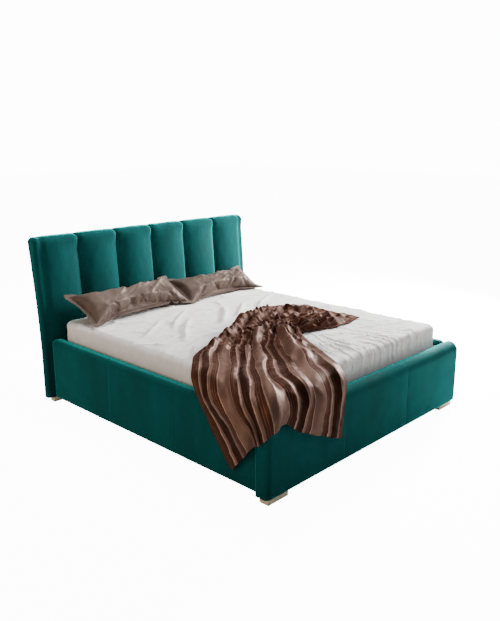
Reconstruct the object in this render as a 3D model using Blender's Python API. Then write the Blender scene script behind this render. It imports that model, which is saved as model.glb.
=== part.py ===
"""Upholstered storage bed for a 180 x 200 cm mattress, with a lifting slatted base.

Metres, +Z up. X runs across the bed and Y along it: the footboard stands at -Y, the headboard at +Y.
The floor is Z = 0 and the origin lies on it, in the middle of the bed's outline.
"""
import math

import bmesh
import bpy
from mathutils import Vector

# ---- overall sizes -------------------------------------------------------------------------------
BED_WIDTH = 2.030             # headboard, the widest piece
THROW_STANDOFF = 0.014        # how far the throw reaches in front of the footboard
THROW_THICKNESS = 0.004
HEADBOARD_TOP = 1.215
PANEL_BOTTOM = 0.040          # underside of the upholstered panels, and the height of the feet
GAP = 0.0003                  # clearance between pieces that touch

# ---- panels --------------------------------------------------------------------------------------
FOOTBOARD_WIDTH = 2.020
FOOTBOARD_DEPTH = 0.100
FOOTBOARD_TOP = 0.475
FOOTBOARD_ROLL = 0.060        # radius of the rolled front edge
RAIL_OUTER = 0.980            # outer face of a side rail, from the middle of the bed
RAIL_INNER = 0.907
RAIL_TOP = 0.480
BOARD_THICKNESS = 0.028       # timber boards inside the upholstery
CAP_THICKNESS = 0.035         # padding over the top of a board
HEADBOARD_FRONT = 2.135       # headboard's front face at rail height, from the footboard's front
HEADBOARD_BACK = 2.200
RECLINE_START = 0.350         # height where the headboard starts to lean back
RECLINE_FRONT = 0.055         # lean of the front face at the top
RECLINE_BACK = 0.087
CHANNEL_COUNT = 6
HEADBOARD_RADIUS = 0.030      # rounding of its top edges
CHANNEL_CROWN = 0.030         # depth of the valleys between the padded channels
PAD_FACE = 0.040              # padding in front of the headboard's board

# ---- lifting mechanism, in the (y, z) plane, y from the footboard's front ---------------------------
ARM_BASE = (1.1626, 0.2974)
ARM_TIP = (1.430, 0.335)
LINK_BASE = (0.800, 0.150)
LINK_TIP = (1.290, 0.250)
STRUT_BASE = (1.3037, 0.120)
STRUT_TIP = (1.494, 0.2898)
PLATE = 0.005                 # thickness of the mechanism's steel plates
PIN_RADIUS = 0.006
EYE_RADIUS = 0.0066           # holes that the pins turn in
ARM_WIDTH = 0.034
LINK_WIDTH = 0.026
CYLINDER_RADIUS = 0.011
ROD_RADIUS = 0.005

# ---- slatted base --------------------------------------------------------------------------------
FRAME_HALF_WIDTH = 0.862
FRAME_FOOT = 0.150
FRAME_HEAD = 2.085
FRAME_BOTTOM = 0.336
FRAME_TOP = 0.370
TUBE = 0.032
SLAT_COUNT = 12
SLAT_SIZE = (1.700, 0.090, 0.012)
HOLDER_HEIGHT = 0.009

# ---- storage box ---------------------------------------------------------------------------------
FLOOR_BOTTOM = 0.075
FLOOR_THICKNESS = 0.006
BEAM_WIDTH = 0.060

# ---- bedding -------------------------------------------------------------------------------------
MATTRESS_WIDTH = 1.780
MATTRESS_FOOT = 0.118
MATTRESS_HEAD = 2.108
MATTRESS_BOTTOM = 0.394
MATTRESS_TOP = 0.600
PILLOW_WIDTH = 0.840


def lean(height):
    """How far the headboard has leaned back at a height, from 0 to 1 at its top."""
    rise = max(0.0, height - RECLINE_START) / (HEADBOARD_TOP - RECLINE_START)
    return rise ** 1.5


BED_LENGTH = HEADBOARD_BACK + RECLINE_BACK * lean(HEADBOARD_TOP - HEADBOARD_RADIUS)
FOOT_Y = (THROW_STANDOFF - BED_LENGTH) / 2.0      # front face of the footboard


def bed_y(y):
    """World Y of a place measured from the footboard's front face."""
    return FOOT_Y + y


def material(name, color, roughness, metallic=0.0):
    """One Principled material, made once and shared by the pieces that have it."""
    found = bpy.data.materials.get(name)
    if found:
        return found
    made = bpy.data.materials.new(name)
    made.use_nodes = True
    shader = made.node_tree.nodes["Principled BSDF"]
    shader.inputs["Base Color"].default_value = (*color, 1.0)
    shader.inputs["Roughness"].default_value = roughness
    shader.inputs["Metallic"].default_value = metallic
    made.diffuse_color = (*color, 1.0)
    return made


def velvet():
    return material("teal_velvet", (0.005, 0.105, 0.100), 0.75)


def lining():
    return material("black_lining", (0.02, 0.02, 0.022), 0.9)


def board():
    return material("pine_board", (0.55, 0.40, 0.24), 0.7)


def beech():
    return material("pale_beech", (0.62, 0.47, 0.28), 0.5)


def panel_grey():
    return material("floor_board", (0.60, 0.58, 0.55), 0.8)


def steel():
    return material("black_steel", (0.03, 0.03, 0.032), 0.45, 0.6)


def zinc():
    return material("zinc_steel", (0.62, 0.63, 0.64), 0.35, 1.0)


def sheet_white():
    return material("white_cotton", (0.80, 0.78, 0.76), 0.9)


def satin():
    return material("brown_satin", (0.17, 0.11, 0.085), 0.45)


def striped():
    return material("striped_satin", (0.11, 0.05, 0.035), 0.45)


# ---- mesh helpers --------------------------------------------------------------------------------
def add_object(name, bm, surface, pivot=(0.0, 0.0, 0.0)):
    """Turns a bmesh, drawn in world coordinates, into an object with its origin at the pivot."""
    bmesh.ops.remove_doubles(bm, verts=bm.verts, dist=1e-6)
    bmesh.ops.recalc_face_normals(bm, faces=bm.faces)
    bmesh.ops.translate(bm, verts=bm.verts, vec=-Vector(pivot))
    mesh = bpy.data.meshes.new(name)
    bm.to_mesh(mesh)
    bm.free()
    mesh.materials.append(surface)
    obj = bpy.data.objects.new(name, mesh)
    obj.location = pivot
    bpy.context.scene.collection.objects.link(obj)
    return obj


def add_bevel(obj, width, segments=2):
    bevel = obj.modifiers.new("rounded_edges", "BEVEL")
    bevel.width = width
    bevel.segments = segments
    bevel.limit_method = "ANGLE"
    bevel.angle_limit = math.radians(50.0)
    bevel.use_clamp_overlap = True
    return bevel


def smooth(obj, angle=35.0):
    obj.data.shade_smooth()
    obj.data.set_sharp_from_angle(angle=math.radians(angle))


def box(name, low, high, surface, bevel=0.0, segments=2):
    """A block between two corners, given in world coordinates."""
    bm = bmesh.new()
    bmesh.ops.create_cube(bm, size=1.0)
    centre = (Vector(low) + Vector(high)) / 2.0
    size = Vector(high) - Vector(low)
    bmesh.ops.scale(bm, vec=size, verts=bm.verts)
    bmesh.ops.translate(bm, verts=bm.verts, vec=centre)
    obj = add_object(name, bm, surface)
    if bevel:
        add_bevel(obj, bevel, segments)
        smooth(obj)
    return obj


def prism(name, outline, near, far, surface, axis="x", holes=()):
    """Extrudes a flat outline, with round holes, along X or Z between two stations.

    The outline's points are (y, z) for an extrusion along X, and (x, y) for one along Z.
    A hole is (centre, radius, sides) or a list of points.
    """
    def at(point, station):
        if axis == "x":
            return (station, point[0], point[1])
        return (point[0], point[1], station)

    bm = bmesh.new()
    loops = [list(outline)]
    for hole in holes:
        if isinstance(hole, tuple):
            centre, radius, sides = hole
            loops.append(arc(centre, radius, 0.0, 360.0 * (1.0 - 1.0 / sides), sides - 1))
        else:
            loops.append(hole)
    edges = []
    for loop in loops:
        verts = [bm.verts.new(at(point, near)) for point in loop]
        for first, second in zip(verts, verts[1:] + verts[:1]):
            edges.append(bm.edges.new((first, second)))
    bmesh.ops.triangle_fill(bm, use_beauty=True, use_dissolve=False, edges=edges)
    step = (far - near, 0.0, 0.0) if axis == "x" else (0.0, 0.0, far - near)
    raised = bmesh.ops.extrude_face_region(bm, geom=list(bm.faces), use_keep_orig=True)
    moved = [item for item in raised["geom"] if isinstance(item, bmesh.types.BMVert)]
    bmesh.ops.translate(bm, verts=moved, vec=step)
    return add_object(name, bm, surface)


def arc(centre, radius, start, end, steps):
    """Points along an arc, in degrees, both ends included."""
    points = []
    for index in range(steps + 1):
        angle = math.radians(start + (end - start) * index / steps)
        points.append((centre[0] + radius * math.cos(angle), centre[1] + radius * math.sin(angle)))
    return points


def subtract(obj, cutter):
    """Cuts one solid out of another; the cutter is left out of the model."""
    cutter.display_type = "WIRE"
    cutter.hide_render = True
    cut = obj.modifiers.new("pocket", "BOOLEAN")
    cut.operation = "DIFFERENCE"
    cut.solver = "EXACT"
    cut.object = cutter


def unite(obj, other):
    """Welds one solid to another; the second is left out of the model as an object."""
    other.display_type = "WIRE"
    other.hide_render = True
    weld = obj.modifiers.new("weld", "BOOLEAN")
    weld.operation = "UNION"
    weld.solver = "EXACT"
    weld.object = other


def rod_along(name, start, end, radius, surface, sides=16):
    """A round bar between two points."""
    start = Vector(start)
    end = Vector(end)
    bm = bmesh.new()
    bmesh.ops.create_cone(bm, cap_ends=True, segments=sides, radius1=radius, radius2=radius,
                          depth=(end - start).length)
    turn = (end - start).to_track_quat("Z", "Y")
    bmesh.ops.rotate(bm, cent=(0.0, 0.0, 0.0), matrix=turn.to_matrix(), verts=bm.verts)
    bmesh.ops.translate(bm, verts=bm.verts, vec=(start + end) / 2.0)
    obj = add_object(name, bm, surface)
    smooth(obj)
    return obj


def set_pivot(obj, pivot):
    """Moves an object's origin to the pivot and leaves its shape where it is."""
    offset = Vector(pivot) - obj.location
    for vertex in obj.data.vertices:
        vertex.co -= offset
    obj.location = pivot


def loft(name, sections, surface):
    """Skins a row of closed sections, each with the same number of points, and caps both ends."""
    bm = bmesh.new()
    rings = [[bm.verts.new(point) for point in section] for section in sections]
    count = len(rings[0])
    for lower, upper in zip(rings, rings[1:]):
        for index in range(count):
            after = (index + 1) % count
            bm.faces.new((lower[index], lower[after], upper[after], upper[index]))
    bm.faces.new(list(reversed(rings[0])))
    bm.faces.new(rings[-1])
    return add_object(name, bm, surface)


# ---- headboard -----------------------------------------------------------------------------------
def headboard_front(height):
    return bed_y(HEADBOARD_FRONT + RECLINE_FRONT * lean(height))


def headboard_back(height):
    return bed_y(HEADBOARD_BACK + RECLINE_BACK * lean(height))


BOARD_TOP = HEADBOARD_TOP - CAP_THICKNESS
HEIGHTS = (PANEL_BOTTOM, 0.20, RECLINE_START, 0.50, 0.65, 0.80, 0.95, 1.08, BOARD_TOP)


def headboard_slab(name, front, back, half_width, low, surface):
    """A board that follows the headboard's curve, between two depths."""
    heights = [low] + [height for height in HEIGHTS if height > low + 0.001]
    outline = [(front(height), height) for height in heights]
    outline += [(back(height), height) for height in reversed(heights)]
    return prism(name, outline, -half_width, half_width, surface)


def make_headboard():
    half_board = BED_WIDTH / 2.0 - 0.028
    low = PANEL_BOTTOM + 0.012

    def board_front(height):
        return headboard_front(height) + PAD_FACE

    def board_back(height):
        return headboard_back(height) - 0.004

    def lining_front(height):
        return headboard_back(height) - 0.0037

    def lining_back(height):
        return headboard_back(height) - 0.0007

    headboard_slab("headboard_board", board_front, board_back, half_board, low, board())
    headboard_slab("headboard_back_lining", lining_front, lining_back, half_board, low, lining())

    pocket_heights = [0.0] + list(HEIGHTS[1:-1]) + [BOARD_TOP + GAP]
    pocket_outline = [(board_front(height) - GAP, height) for height in pocket_heights]
    pocket_outline += [(headboard_back(height) + 0.02, height) for height in reversed(pocket_heights)]
    pocket = prism("headboard_pocket", pocket_outline, -half_board - GAP, half_board + GAP, board())

    pitch = BED_WIDTH / CHANNEL_COUNT
    for index in range(CHANNEL_COUNT):
        x0 = -BED_WIDTH / 2.0 + pitch * index + (GAP / 2.0 if index else 0.0)
        x1 = -BED_WIDTH / 2.0 + pitch * (index + 1) - (GAP / 2.0 if index < CHANNEL_COUNT - 1 else 0.0)
        pad = headboard_channel(index, x0, x1)
        subtract(pad, pocket)


def headboard_channel(index, x0, x1):
    """One padded channel: a crowned front, folded over the top and down the back."""
    steps = 8
    stations = [(height, 0.0) for height in HEIGHTS[:-1]]
    for turn in (0.0, 35.0, 65.0, 90.0):
        angle = math.radians(turn)
        stations.append((HEADBOARD_TOP - HEADBOARD_RADIUS * (1.0 - math.sin(angle)),
                         HEADBOARD_RADIUS * (1.0 - math.cos(angle))))
    sections = []
    for height, inset in stations:
        front = headboard_front(height) + inset
        back = headboard_back(height) - inset
        section = []
        for step in range(steps + 1):
            across = -1.0 + 2.0 * step / steps
            valley = CHANNEL_CROWN * abs(across) ** 3.5
            section.append((x0 + (x1 - x0) * step / steps, min(front + valley, back - 0.002), height))
        section.append((x1, back, height))
        section.append((x0, back, height))
        sections.append(section)
    pad = loft("headboard_channel_%d" % (index + 1), sections, velvet())
    smooth(pad, 50.0)
    return pad


# ---- side rails and footboard --------------------------------------------------------------------
RAIL_FOOT_END = bed_y(FOOTBOARD_DEPTH + GAP)
RAIL_HEAD_END = bed_y(HEADBOARD_FRONT - GAP)


def make_side_rail(side, name):
    """A timber board with a thick padded face that folds over its top edge."""
    inner = RAIL_INNER + BOARD_THICKNESS + GAP
    radius = 0.028
    profile = [(RAIL_OUTER, PANEL_BOTTOM + 0.006), (RAIL_OUTER - 0.006, PANEL_BOTTOM),
               (inner, PANEL_BOTTOM), (inner, RAIL_TOP - CAP_THICKNESS), (RAIL_INNER, RAIL_TOP - CAP_THICKNESS)]
    profile += [(RAIL_INNER, RAIL_TOP - 0.012)]
    profile += arc((RAIL_INNER + 0.012, RAIL_TOP - 0.012), 0.012, 150.0, 90.0, 2)
    profile += arc((RAIL_OUTER - radius, RAIL_TOP - radius), radius, 90.0, 0.0, 5)
    sections = []
    for y in (RAIL_FOOT_END, RAIL_HEAD_END):
        sections.append([(side * x, y, z) for x, z in profile])
    pad = loft("side_rail_pad_" + name, sections, velvet())
    smooth(pad)
    near = side * RAIL_INNER
    far = side * (RAIL_INNER + BOARD_THICKNESS)
    box("side_rail_board_" + name, (min(near, far), RAIL_FOOT_END, PANEL_BOTTOM + 0.002),
        (max(near, far), RAIL_HEAD_END, RAIL_TOP - CAP_THICKNESS - GAP), board())


def make_footboard():
    """A timber board in a padded cover with a rolled front edge and rounded ends."""
    half = FOOTBOARD_WIDTH / 2.0
    front = bed_y(0.0)
    back = bed_y(FOOTBOARD_DEPTH)
    back_radius = 0.030
    outline = [(back, PANEL_BOTTOM), (front, PANEL_BOTTOM)]
    outline += arc((front + FOOTBOARD_ROLL, FOOTBOARD_TOP - FOOTBOARD_ROLL), FOOTBOARD_ROLL, 180.0, 90.0, 6)
    outline += arc((back - back_radius, FOOTBOARD_TOP - back_radius), back_radius, 90.0, 0.0, 3)
    pad = prism("footboard_pad", outline, -half, half, velvet())
    add_bevel(pad, 0.022, 3)
    smooth(pad)
    board_front = back - BOARD_THICKNESS
    board_top = FOOTBOARD_TOP - CAP_THICKNESS
    board_half = half - 0.030
    pocket = box("footboard_pocket", (-board_half - GAP, board_front - GAP, 0.0),
                 (board_half + GAP, back + 0.02, board_top + GAP), board())
    subtract(pad, pocket)
    box("footboard_board", (-board_half, board_front, PANEL_BOTTOM + 0.002),
        (board_half, back, board_top), board())


def make_feet():
    """Four low wooden feet, set a little inside the outline of the end panels."""
    length = 0.165
    inset = 0.022
    for x_name, side in (("left", -1.0), ("right", 1.0)):
        for y_name, near, far in (("front", 0.018, 0.085), ("back", 2.142, 2.196)):
            outer = side * (FOOTBOARD_WIDTH / 2.0 - inset)
            inner = side * (FOOTBOARD_WIDTH / 2.0 - inset - length)
            box("foot_%s_%s" % (y_name, x_name), (min(outer, inner), bed_y(near), 0.0),
                (max(outer, inner), bed_y(far), PANEL_BOTTOM - GAP), beech(), 0.003, 1)


def make_corner_brackets():
    """Steel angles that bolt the side rails to the end panels."""
    leg = 0.050
    metal = 0.004
    low = 0.150
    high = 0.300
    face = RAIL_INNER - GAP
    for y_name, wall, way in (("front", RAIL_FOOT_END, 1.0), ("back", RAIL_HEAD_END, -1.0)):
        for x_name, side in (("left", -1.0), ("right", 1.0)):
            outline = [(side * face, wall), (side * face, wall + way * leg),
                       (side * (face - metal), wall + way * leg), (side * (face - metal), wall + way * metal),
                       (side * (face - leg), wall + way * metal), (side * (face - leg), wall)]
            bracket = prism("corner_bracket_%s_%s" % (y_name, x_name), outline, low, high, steel(), "z")
            for height in (low + 0.030, high - 0.030):
                head = rod_along("bolt", (side * (face - 0.001), wall + way * 0.032, height),
                                 (side * (face - metal - 0.005), wall + way * 0.032, height), 0.007, steel(), 6)
                unite(bracket, head)


def make_storage_floor():
    """Two floor panels on a centre beam and on battens along the side rails."""
    front = RAIL_FOOT_END + 0.001
    back = RAIL_HEAD_END - 0.001
    batten_bottom = FLOOR_BOTTOM - 0.030
    box("centre_beam", (-BEAM_WIDTH / 2.0, front, batten_bottom),
        (BEAM_WIDTH / 2.0, back, FLOOR_BOTTOM - GAP), board())
    for name, y in (("front", 0.70), ("rear", 1.50)):
        box("centre_leg_" + name, (-0.022, bed_y(y) - 0.022, 0.0),
            (0.022, bed_y(y) + 0.022, batten_bottom - GAP), beech(), 0.003, 1)
    for name, side in (("left", -1.0), ("right", 1.0)):
        outer = side * (RAIL_INNER - GAP)
        inner = side * (RAIL_INNER - 0.028)
        box("floor_batten_" + name, (min(outer, inner), front, batten_bottom),
            (max(outer, inner), back, FLOOR_BOTTOM - GAP), board())
        edge = side * (RAIL_INNER - 0.002)
        middle = side * GAP
        box("floor_panel_" + name, (min(edge, middle), front, FLOOR_BOTTOM),
            (max(edge, middle), back, FLOOR_BOTTOM + FLOOR_THICKNESS), panel_grey())


# ---- lifting mechanism ---------------------------------------------------------------------------
def layer(side, depth):
    """X of a layer of the mechanism, counted inwards from a side rail's inner face."""
    return side * (RAIL_INNER - GAP - depth)


def bar_outline(first, second, width):
    """A flat bar with round ends, around two pivots."""
    direction = math.degrees(math.atan2(second[1] - first[1], second[0] - first[0]))
    radius = width / 2.0
    outline = arc(second, radius, direction - 90.0, direction + 90.0, 8)
    outline += arc(first, radius, direction + 90.0, direction + 270.0, 8)
    return outline


def world(pivot):
    """A pivot's (y, z) with y in world coordinates."""
    return (bed_y(pivot[0]), pivot[1])


def pin(name, pivot, near, far, radius=PIN_RADIUS):
    return rod_along(name, (near, pivot[0], pivot[1]), (far, pivot[0], pivot[1]), radius, zinc(), 16)


def head(name, pivot, near, far):
    return pin(name, pivot, near, far, 0.0095)


def make_mechanism(side, name):
    """Base plate, lift arm, guide link, gas strut and the platform's bracket on one side."""
    arm_base = world(ARM_BASE)
    arm_tip = world(ARM_TIP)
    link_base = world(LINK_BASE)
    link_tip = world(LINK_TIP)
    strut_base = world(STRUT_BASE)
    strut_tip = world(STRUT_TIP)
    plate_in = layer(side, 0.0)
    plate_out = layer(side, PLATE)
    arm_in = layer(side, 0.0065)
    arm_out = layer(side, 0.0115)
    inner_in = layer(side, 0.0134)
    inner_out = layer(side, 0.0182)
    bracket_in = layer(side, 0.0195)
    bracket_out = layer(side, 0.0245)
    strut_middle = layer(side, 0.0365)

    # base plate, screwed to the side rail, with the pins that the arm, link and strut turn on
    outline = arc(link_base, 0.022, 180.0, 270.0, 3)
    outline += arc(strut_base, 0.022, 270.0, 360.0, 3)
    outline += arc((strut_base[0], strut_base[1] + 0.030), 0.022, 0.0, 60.0, 3)
    outline += arc(arm_base, 0.022, 40.0, 120.0, 4)
    outline += arc((link_base[0], link_base[1] + 0.030), 0.022, 120.0, 180.0, 3)
    plate = prism("lift_base_plate_" + name, outline, min(plate_in, plate_out), max(plate_in, plate_out), steel())
    middle = (plate_in + plate_out) / 2.0
    unite(plate, pin("arm_pin", arm_base, middle, layer(side, 0.0122)))
    unite(plate, head("arm_pin_clip", arm_base, layer(side, 0.0118), layer(side, 0.0126)))
    unite(plate, pin("link_pin", link_base, middle, layer(side, 0.0190)))
    unite(plate, head("link_pin_collar", link_base, middle, layer(side, 0.0129)))
    unite(plate, head("link_pin_head", link_base, layer(side, 0.0187), layer(side, 0.0215)))
    unite(plate, pin("strut_pin", strut_base, middle, layer(side, 0.0420)))
    unite(plate, head("strut_pin_collar", strut_base, middle, layer(side, 0.0310)))

    # lift arm: turns on the base plate, and carries the platform's bracket on its far pin
    arm = prism("lift_arm_" + name, bar_outline(arm_base, arm_tip, ARM_WIDTH),
                min(arm_in, arm_out), max(arm_in, arm_out), steel(), holes=[(arm_base, EYE_RADIUS, 16)])
    unite(arm, pin("tip_pin", arm_tip, (arm_in + arm_out) / 2.0, layer(side, 0.0255)))
    unite(arm, head("tip_collar", arm_tip, (arm_in + arm_out) / 2.0, layer(side, 0.0190)))
    unite(arm, head("tip_head", arm_tip, layer(side, 0.0250), layer(side, 0.0275)))
    set_pivot(arm, (0.0, *arm_base))

    # guide link: turns on the base plate and ends in a rivet beside the platform's bracket
    link = prism("guide_link_" + name, bar_outline(link_base, link_tip, LINK_WIDTH),
                 min(inner_in, inner_out), max(inner_in, inner_out), steel(), holes=[(link_base, EYE_RADIUS, 16)])
    unite(link, head("link_rivet", link_tip, layer(side, 0.0124), (inner_in + inner_out) / 2.0))
    set_pivot(link, (0.0, *link_base))

    # platform bracket: a plate under the frame's side tube
    bracket_outline = [(link_tip[0] - 0.022, link_tip[1]), (link_tip[0] - 0.010, link_tip[1] - 0.020),
                       (link_tip[0] + 0.018, link_tip[1] - 0.020), (strut_tip[0] + 0.022, strut_tip[1] - 0.020),
                       (strut_tip[0] + 0.026, FRAME_TOP - 0.003), (link_tip[0] - 0.022, FRAME_TOP - 0.003)]
    bracket = prism("lift_frame_bracket_" + name, bracket_outline, min(bracket_in, bracket_out),
                    max(bracket_in, bracket_out), steel(), holes=[(arm_tip, EYE_RADIUS, 16)])
    set_pivot(bracket, (0.0, *arm_tip))

    make_gas_strut(side, name, strut_middle, strut_base, strut_tip)


def make_gas_strut(side, name, x, base, tip):
    """A gas cylinder that turns on the base plate, and the rod that slides out of it."""
    start = Vector((x, base[0], base[1]))
    end = Vector((x, tip[0], tip[1]))
    along = (end - start).normalized()
    length = (end - start).length
    eye = 0.012
    half = 0.0045
    sleeve_end = length - 0.034
    bore = ROD_RADIUS + 0.0008

    cylinder = rod_along("gas_cylinder_" + name, start + along * 0.020, start + along * sleeve_end,
                         CYLINDER_RADIUS, steel())
    unite(cylinder, rod_along("cylinder_eye", (x - half, *base), (x + half, *base), eye, steel(), 20))
    unite(cylinder, rod_along("cylinder_neck", start + along * 0.004, start + along * 0.024, 0.0045, steel(), 12))
    subtract(cylinder, rod_along("cylinder_bore", start + along * 0.060, start + along * (length + 0.01),
                                 bore, steel(), 16))
    subtract(cylinder, pin("eye_hole", base, x - 0.02, x + 0.02, EYE_RADIUS))
    set_pivot(cylinder, start)

    rod = rod_along("gas_rod_" + name, start + along * 0.062, end - along * 0.004, ROD_RADIUS, zinc())
    unite(rod, rod_along("rod_eye", (x - half, *tip), (x + half, *tip), eye, zinc(), 20))
    stud_end = layer(side, 0.0262)
    unite(rod, pin("rod_stud", tip, x, stud_end))
    set_pivot(rod, end)


# ---- platform ------------------------------------------------------------------------------------
def make_platform():
    """A welded tube frame with slats in two long holders."""
    foot = bed_y(FRAME_FOOT)
    head_end = bed_y(FRAME_HEAD)
    half = FRAME_HALF_WIDTH
    outline = [(-half, foot), (half, foot), (half, head_end), (-half, head_end)]
    middle = (foot + head_end) / 2.0
    openings = []
    for x0, x1 in ((-half + TUBE, -TUBE / 2.0), (TUBE / 2.0, half - TUBE)):
        for y0, y1 in ((foot + TUBE, middle - TUBE / 2.0), (middle + TUBE / 2.0, head_end - TUBE)):
            openings.append([(x0, y0), (x1, y0), (x1, y1), (x0, y1)])
    frame = prism("lift_frame", outline, FRAME_BOTTOM, FRAME_TOP, steel(), "z", openings)
    set_pivot(frame, (0.0, *world(ARM_TIP)))

    holder_bottom = FRAME_TOP + GAP
    slat_bottom = holder_bottom + HOLDER_HEIGHT + GAP
    for name, side in (("left", -1.0), ("right", 1.0)):
        outer = side * (half - 0.002)
        inner = side * (half - 0.034)
        holder = box("slat_holder_" + name, (min(outer, inner), foot + 0.01, holder_bottom),
                     (max(outer, inner), head_end - 0.01, holder_bottom + HOLDER_HEIGHT), lining())
        set_pivot(holder, (0.0, *world(ARM_TIP)))
    length, width, thickness = SLAT_SIZE
    first = foot + 0.070
    last = head_end - 0.070
    for index in range(SLAT_COUNT):
        y = first + (last - first) * index / (SLAT_COUNT - 1)
        slat = box("slat_%02d" % (index + 1), (-length / 2.0, y - width / 2.0, slat_bottom),
                   (length / 2.0, y + width / 2.0, slat_bottom + thickness), beech())
        set_pivot(slat, (0.0, *world(ARM_TIP)))


# ---- bedding -------------------------------------------------------------------------------------
def make_mattress():
    half = MATTRESS_WIDTH / 2.0
    mattress = box("mattress", (-half, bed_y(MATTRESS_FOOT), MATTRESS_BOTTOM),
                   (half, bed_y(MATTRESS_HEAD), MATTRESS_TOP), sheet_white(), 0.030, 3)
    set_pivot(mattress, (0.0, *world(ARM_TIP)))


def make_pillow(name, x_middle):
    """A cushion that leans back on the mattress, towards the headboard."""
    section = [(1.800, 0.606), (1.850, 0.665), (1.930, 0.730), (2.010, 0.775), (2.070, 0.790),
               (2.088, 0.778), (2.085, 0.720), (2.060, 0.650), (2.000, 0.608), (1.900, 0.603)]
    centre = (1.975, 0.690)
    stations = ((-0.5, 0.35), (-0.44, 0.72), (-0.30, 0.93), (0.0, 1.0), (0.30, 0.93), (0.44, 0.72), (0.5, 0.35))
    sections = []
    for place, size in stations:
        ring = []
        for y, z in section:
            ring.append((x_middle + PILLOW_WIDTH * place, bed_y(centre[0] + (y - centre[0]) * size),
                         centre[1] + (z - centre[1]) * size))
        sections.append(ring)
    pillow = loft(name, sections, satin())
    smooth(pillow, 60.0)
    set_pivot(pillow, (0.0, *world(ARM_TIP)))


# The throw is drawn on a flat plan: a is the distance inboard of the mattress's left edge, b the distance
# inboard of its foot edge. Where a or b is negative the cloth hangs over that edge.
THROW_ROWS = (
    # left end, middle, right end of each row, from the tail on the mattress to the hem
    ((1.56, 0.62), (1.58, 0.59), (1.56, 0.56)),
    ((1.44, 0.82), (1.40, 0.68), (1.36, 0.54)),
    ((1.22, 0.98), (1.17, 0.75), (1.12, 0.54)),
    ((0.96, 1.04), (0.96, 0.78), (0.94, 0.55)),
    ((0.70, 0.96), (0.80, 0.75), (0.86, 0.56)),
    ((0.52, 0.86), (0.64, 0.66), (0.82, 0.48)),
    ((0.34, 0.80), (0.42, 0.48), (0.74, 0.28)),
    ((0.14, 0.72), (0.16, 0.26), (0.66, 0.12)),
    ((0.00, 0.60), (0.00, 0.06), (0.60, 0.00)),
    ((-0.10, 0.50), (-0.05, -0.05), (0.54, -0.12)),
    ((-0.20, 0.42), (-0.08, -0.08), (0.52, -0.22)),
    ((-0.36, 0.30), (-0.10, -0.10), (0.51, -0.34)),
    ((-0.53, 0.16), (-0.11, -0.11), (0.49, -0.44)),
)
FOOT_DROP = MATTRESS_FOOT + THROW_STANDOFF - THROW_THICKNESS      # mattress's edge to the hanging cloth
CORNER_DROP = (BED_WIDTH - MATTRESS_WIDTH) / 2.0 - THROW_THICKNESS - GAP
RAIL_DROP = 0.100
CORNER_POWER = 14.0           # squareness of the cloth's turn around the footboard's corner
HEAP_ROWS = 6                 # rows that lie gathered on the mattress
HEAP_HEIGHT = 0.050
SHOULDER = 0.170              # length of cloth between the mattress's edge and the drop


def throw_point(a, b, lift):
    """Where a point of the flat throw lies on the bed, raised off it by a small amount."""
    over = Vector((min(a, 0.0), min(b, 0.0)))
    run = over.length
    x = -MATTRESS_WIDTH / 2.0 + max(a, 0.0)
    y = MATTRESS_FOOT + max(b, 0.0)
    z = MATTRESS_TOP + 0.004
    outward = Vector((0.0, 0.0, 1.0))
    if run > 0.0:
        direction = over / run
        past_rail = min(1.0, max(0.0, (0.18 - b) / 0.15))
        side_drop = RAIL_DROP + (CORNER_DROP - RAIL_DROP) * past_rail
        outline = abs(direction.x / side_drop) ** CORNER_POWER + abs(direction.y / FOOT_DROP) ** CORNER_POWER
        reach = outline ** (-1.0 / CORNER_POWER)
        share = min(1.0, run / SHOULDER)
        level = reach * math.sin(share * math.pi / 2.0)
        fall = 0.120 * (1.0 - math.cos(share * math.pi / 2.0)) + max(0.0, run - SHOULDER)
        x += direction.x * level
        y += direction.y * level
        z -= fall
        outward = Vector((direction.x * share, direction.y * share, 1.0 - share))
        outward.normalize()
    return Vector((x, bed_y(y), z)) + outward * lift


def make_throw():
    """A light blanket: gathered on the mattress, fanned out over the front left corner."""
    columns = 16
    between = 3
    lower = []
    upper = []
    for station in range(between * (len(THROW_ROWS) - 1) + 1):
        row = min(station // between, len(THROW_ROWS) - 2)
        share = station / between - row
        left, middle, right = [Vector(first).lerp(Vector(second), share)
                               for first, second in zip(THROW_ROWS[row], THROW_ROWS[row + 1])]
        heap = HEAP_HEIGHT * max(0.0, math.sin(math.pi * station / between / HEAP_ROWS))
        if station > between * HEAP_ROWS:
            heap = 0.0
        lower_row = []
        upper_row = []
        for column in range(columns + 1):
            t = column / columns
            w0 = (1.0 - t) * (1.0 - 2.0 * t)
            w1 = 4.0 * t * (1.0 - t)
            w2 = t * (2.0 * t - 1.0)
            a = w0 * left[0] + w1 * middle[0] + w2 * right[0]
            b = w0 * left[1] + w1 * middle[1] + w2 * right[1]
            extra = heap * math.sin(math.pi * t)
            lower_row.append(throw_point(a, b, 0.0))
            upper_row.append(throw_point(a, b, THROW_THICKNESS + extra))
        lower.append(lower_row)
        upper.append(upper_row)
    bm = bmesh.new()
    low = [[bm.verts.new(point) for point in row] for row in lower]
    high = [[bm.verts.new(point) for point in row] for row in upper]
    rows = len(low)
    for i in range(rows - 1):
        for j in range(columns):
            bm.faces.new((low[i][j], low[i + 1][j], low[i + 1][j + 1], low[i][j + 1]))
            bm.faces.new((high[i][j], high[i][j + 1], high[i + 1][j + 1], high[i + 1][j]))
        for j in (0, columns):
            bm.faces.new((low[i][j], high[i][j], high[i + 1][j], low[i + 1][j]))
    for i in (0, rows - 1):
        for j in range(columns):
            bm.faces.new((low[i][j], low[i][j + 1], high[i][j + 1], high[i][j]))
    throw = add_object("throw", bm, striped())
    smooth(throw, 60.0)
    set_pivot(throw, (0.0, *world(ARM_TIP)))


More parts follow.
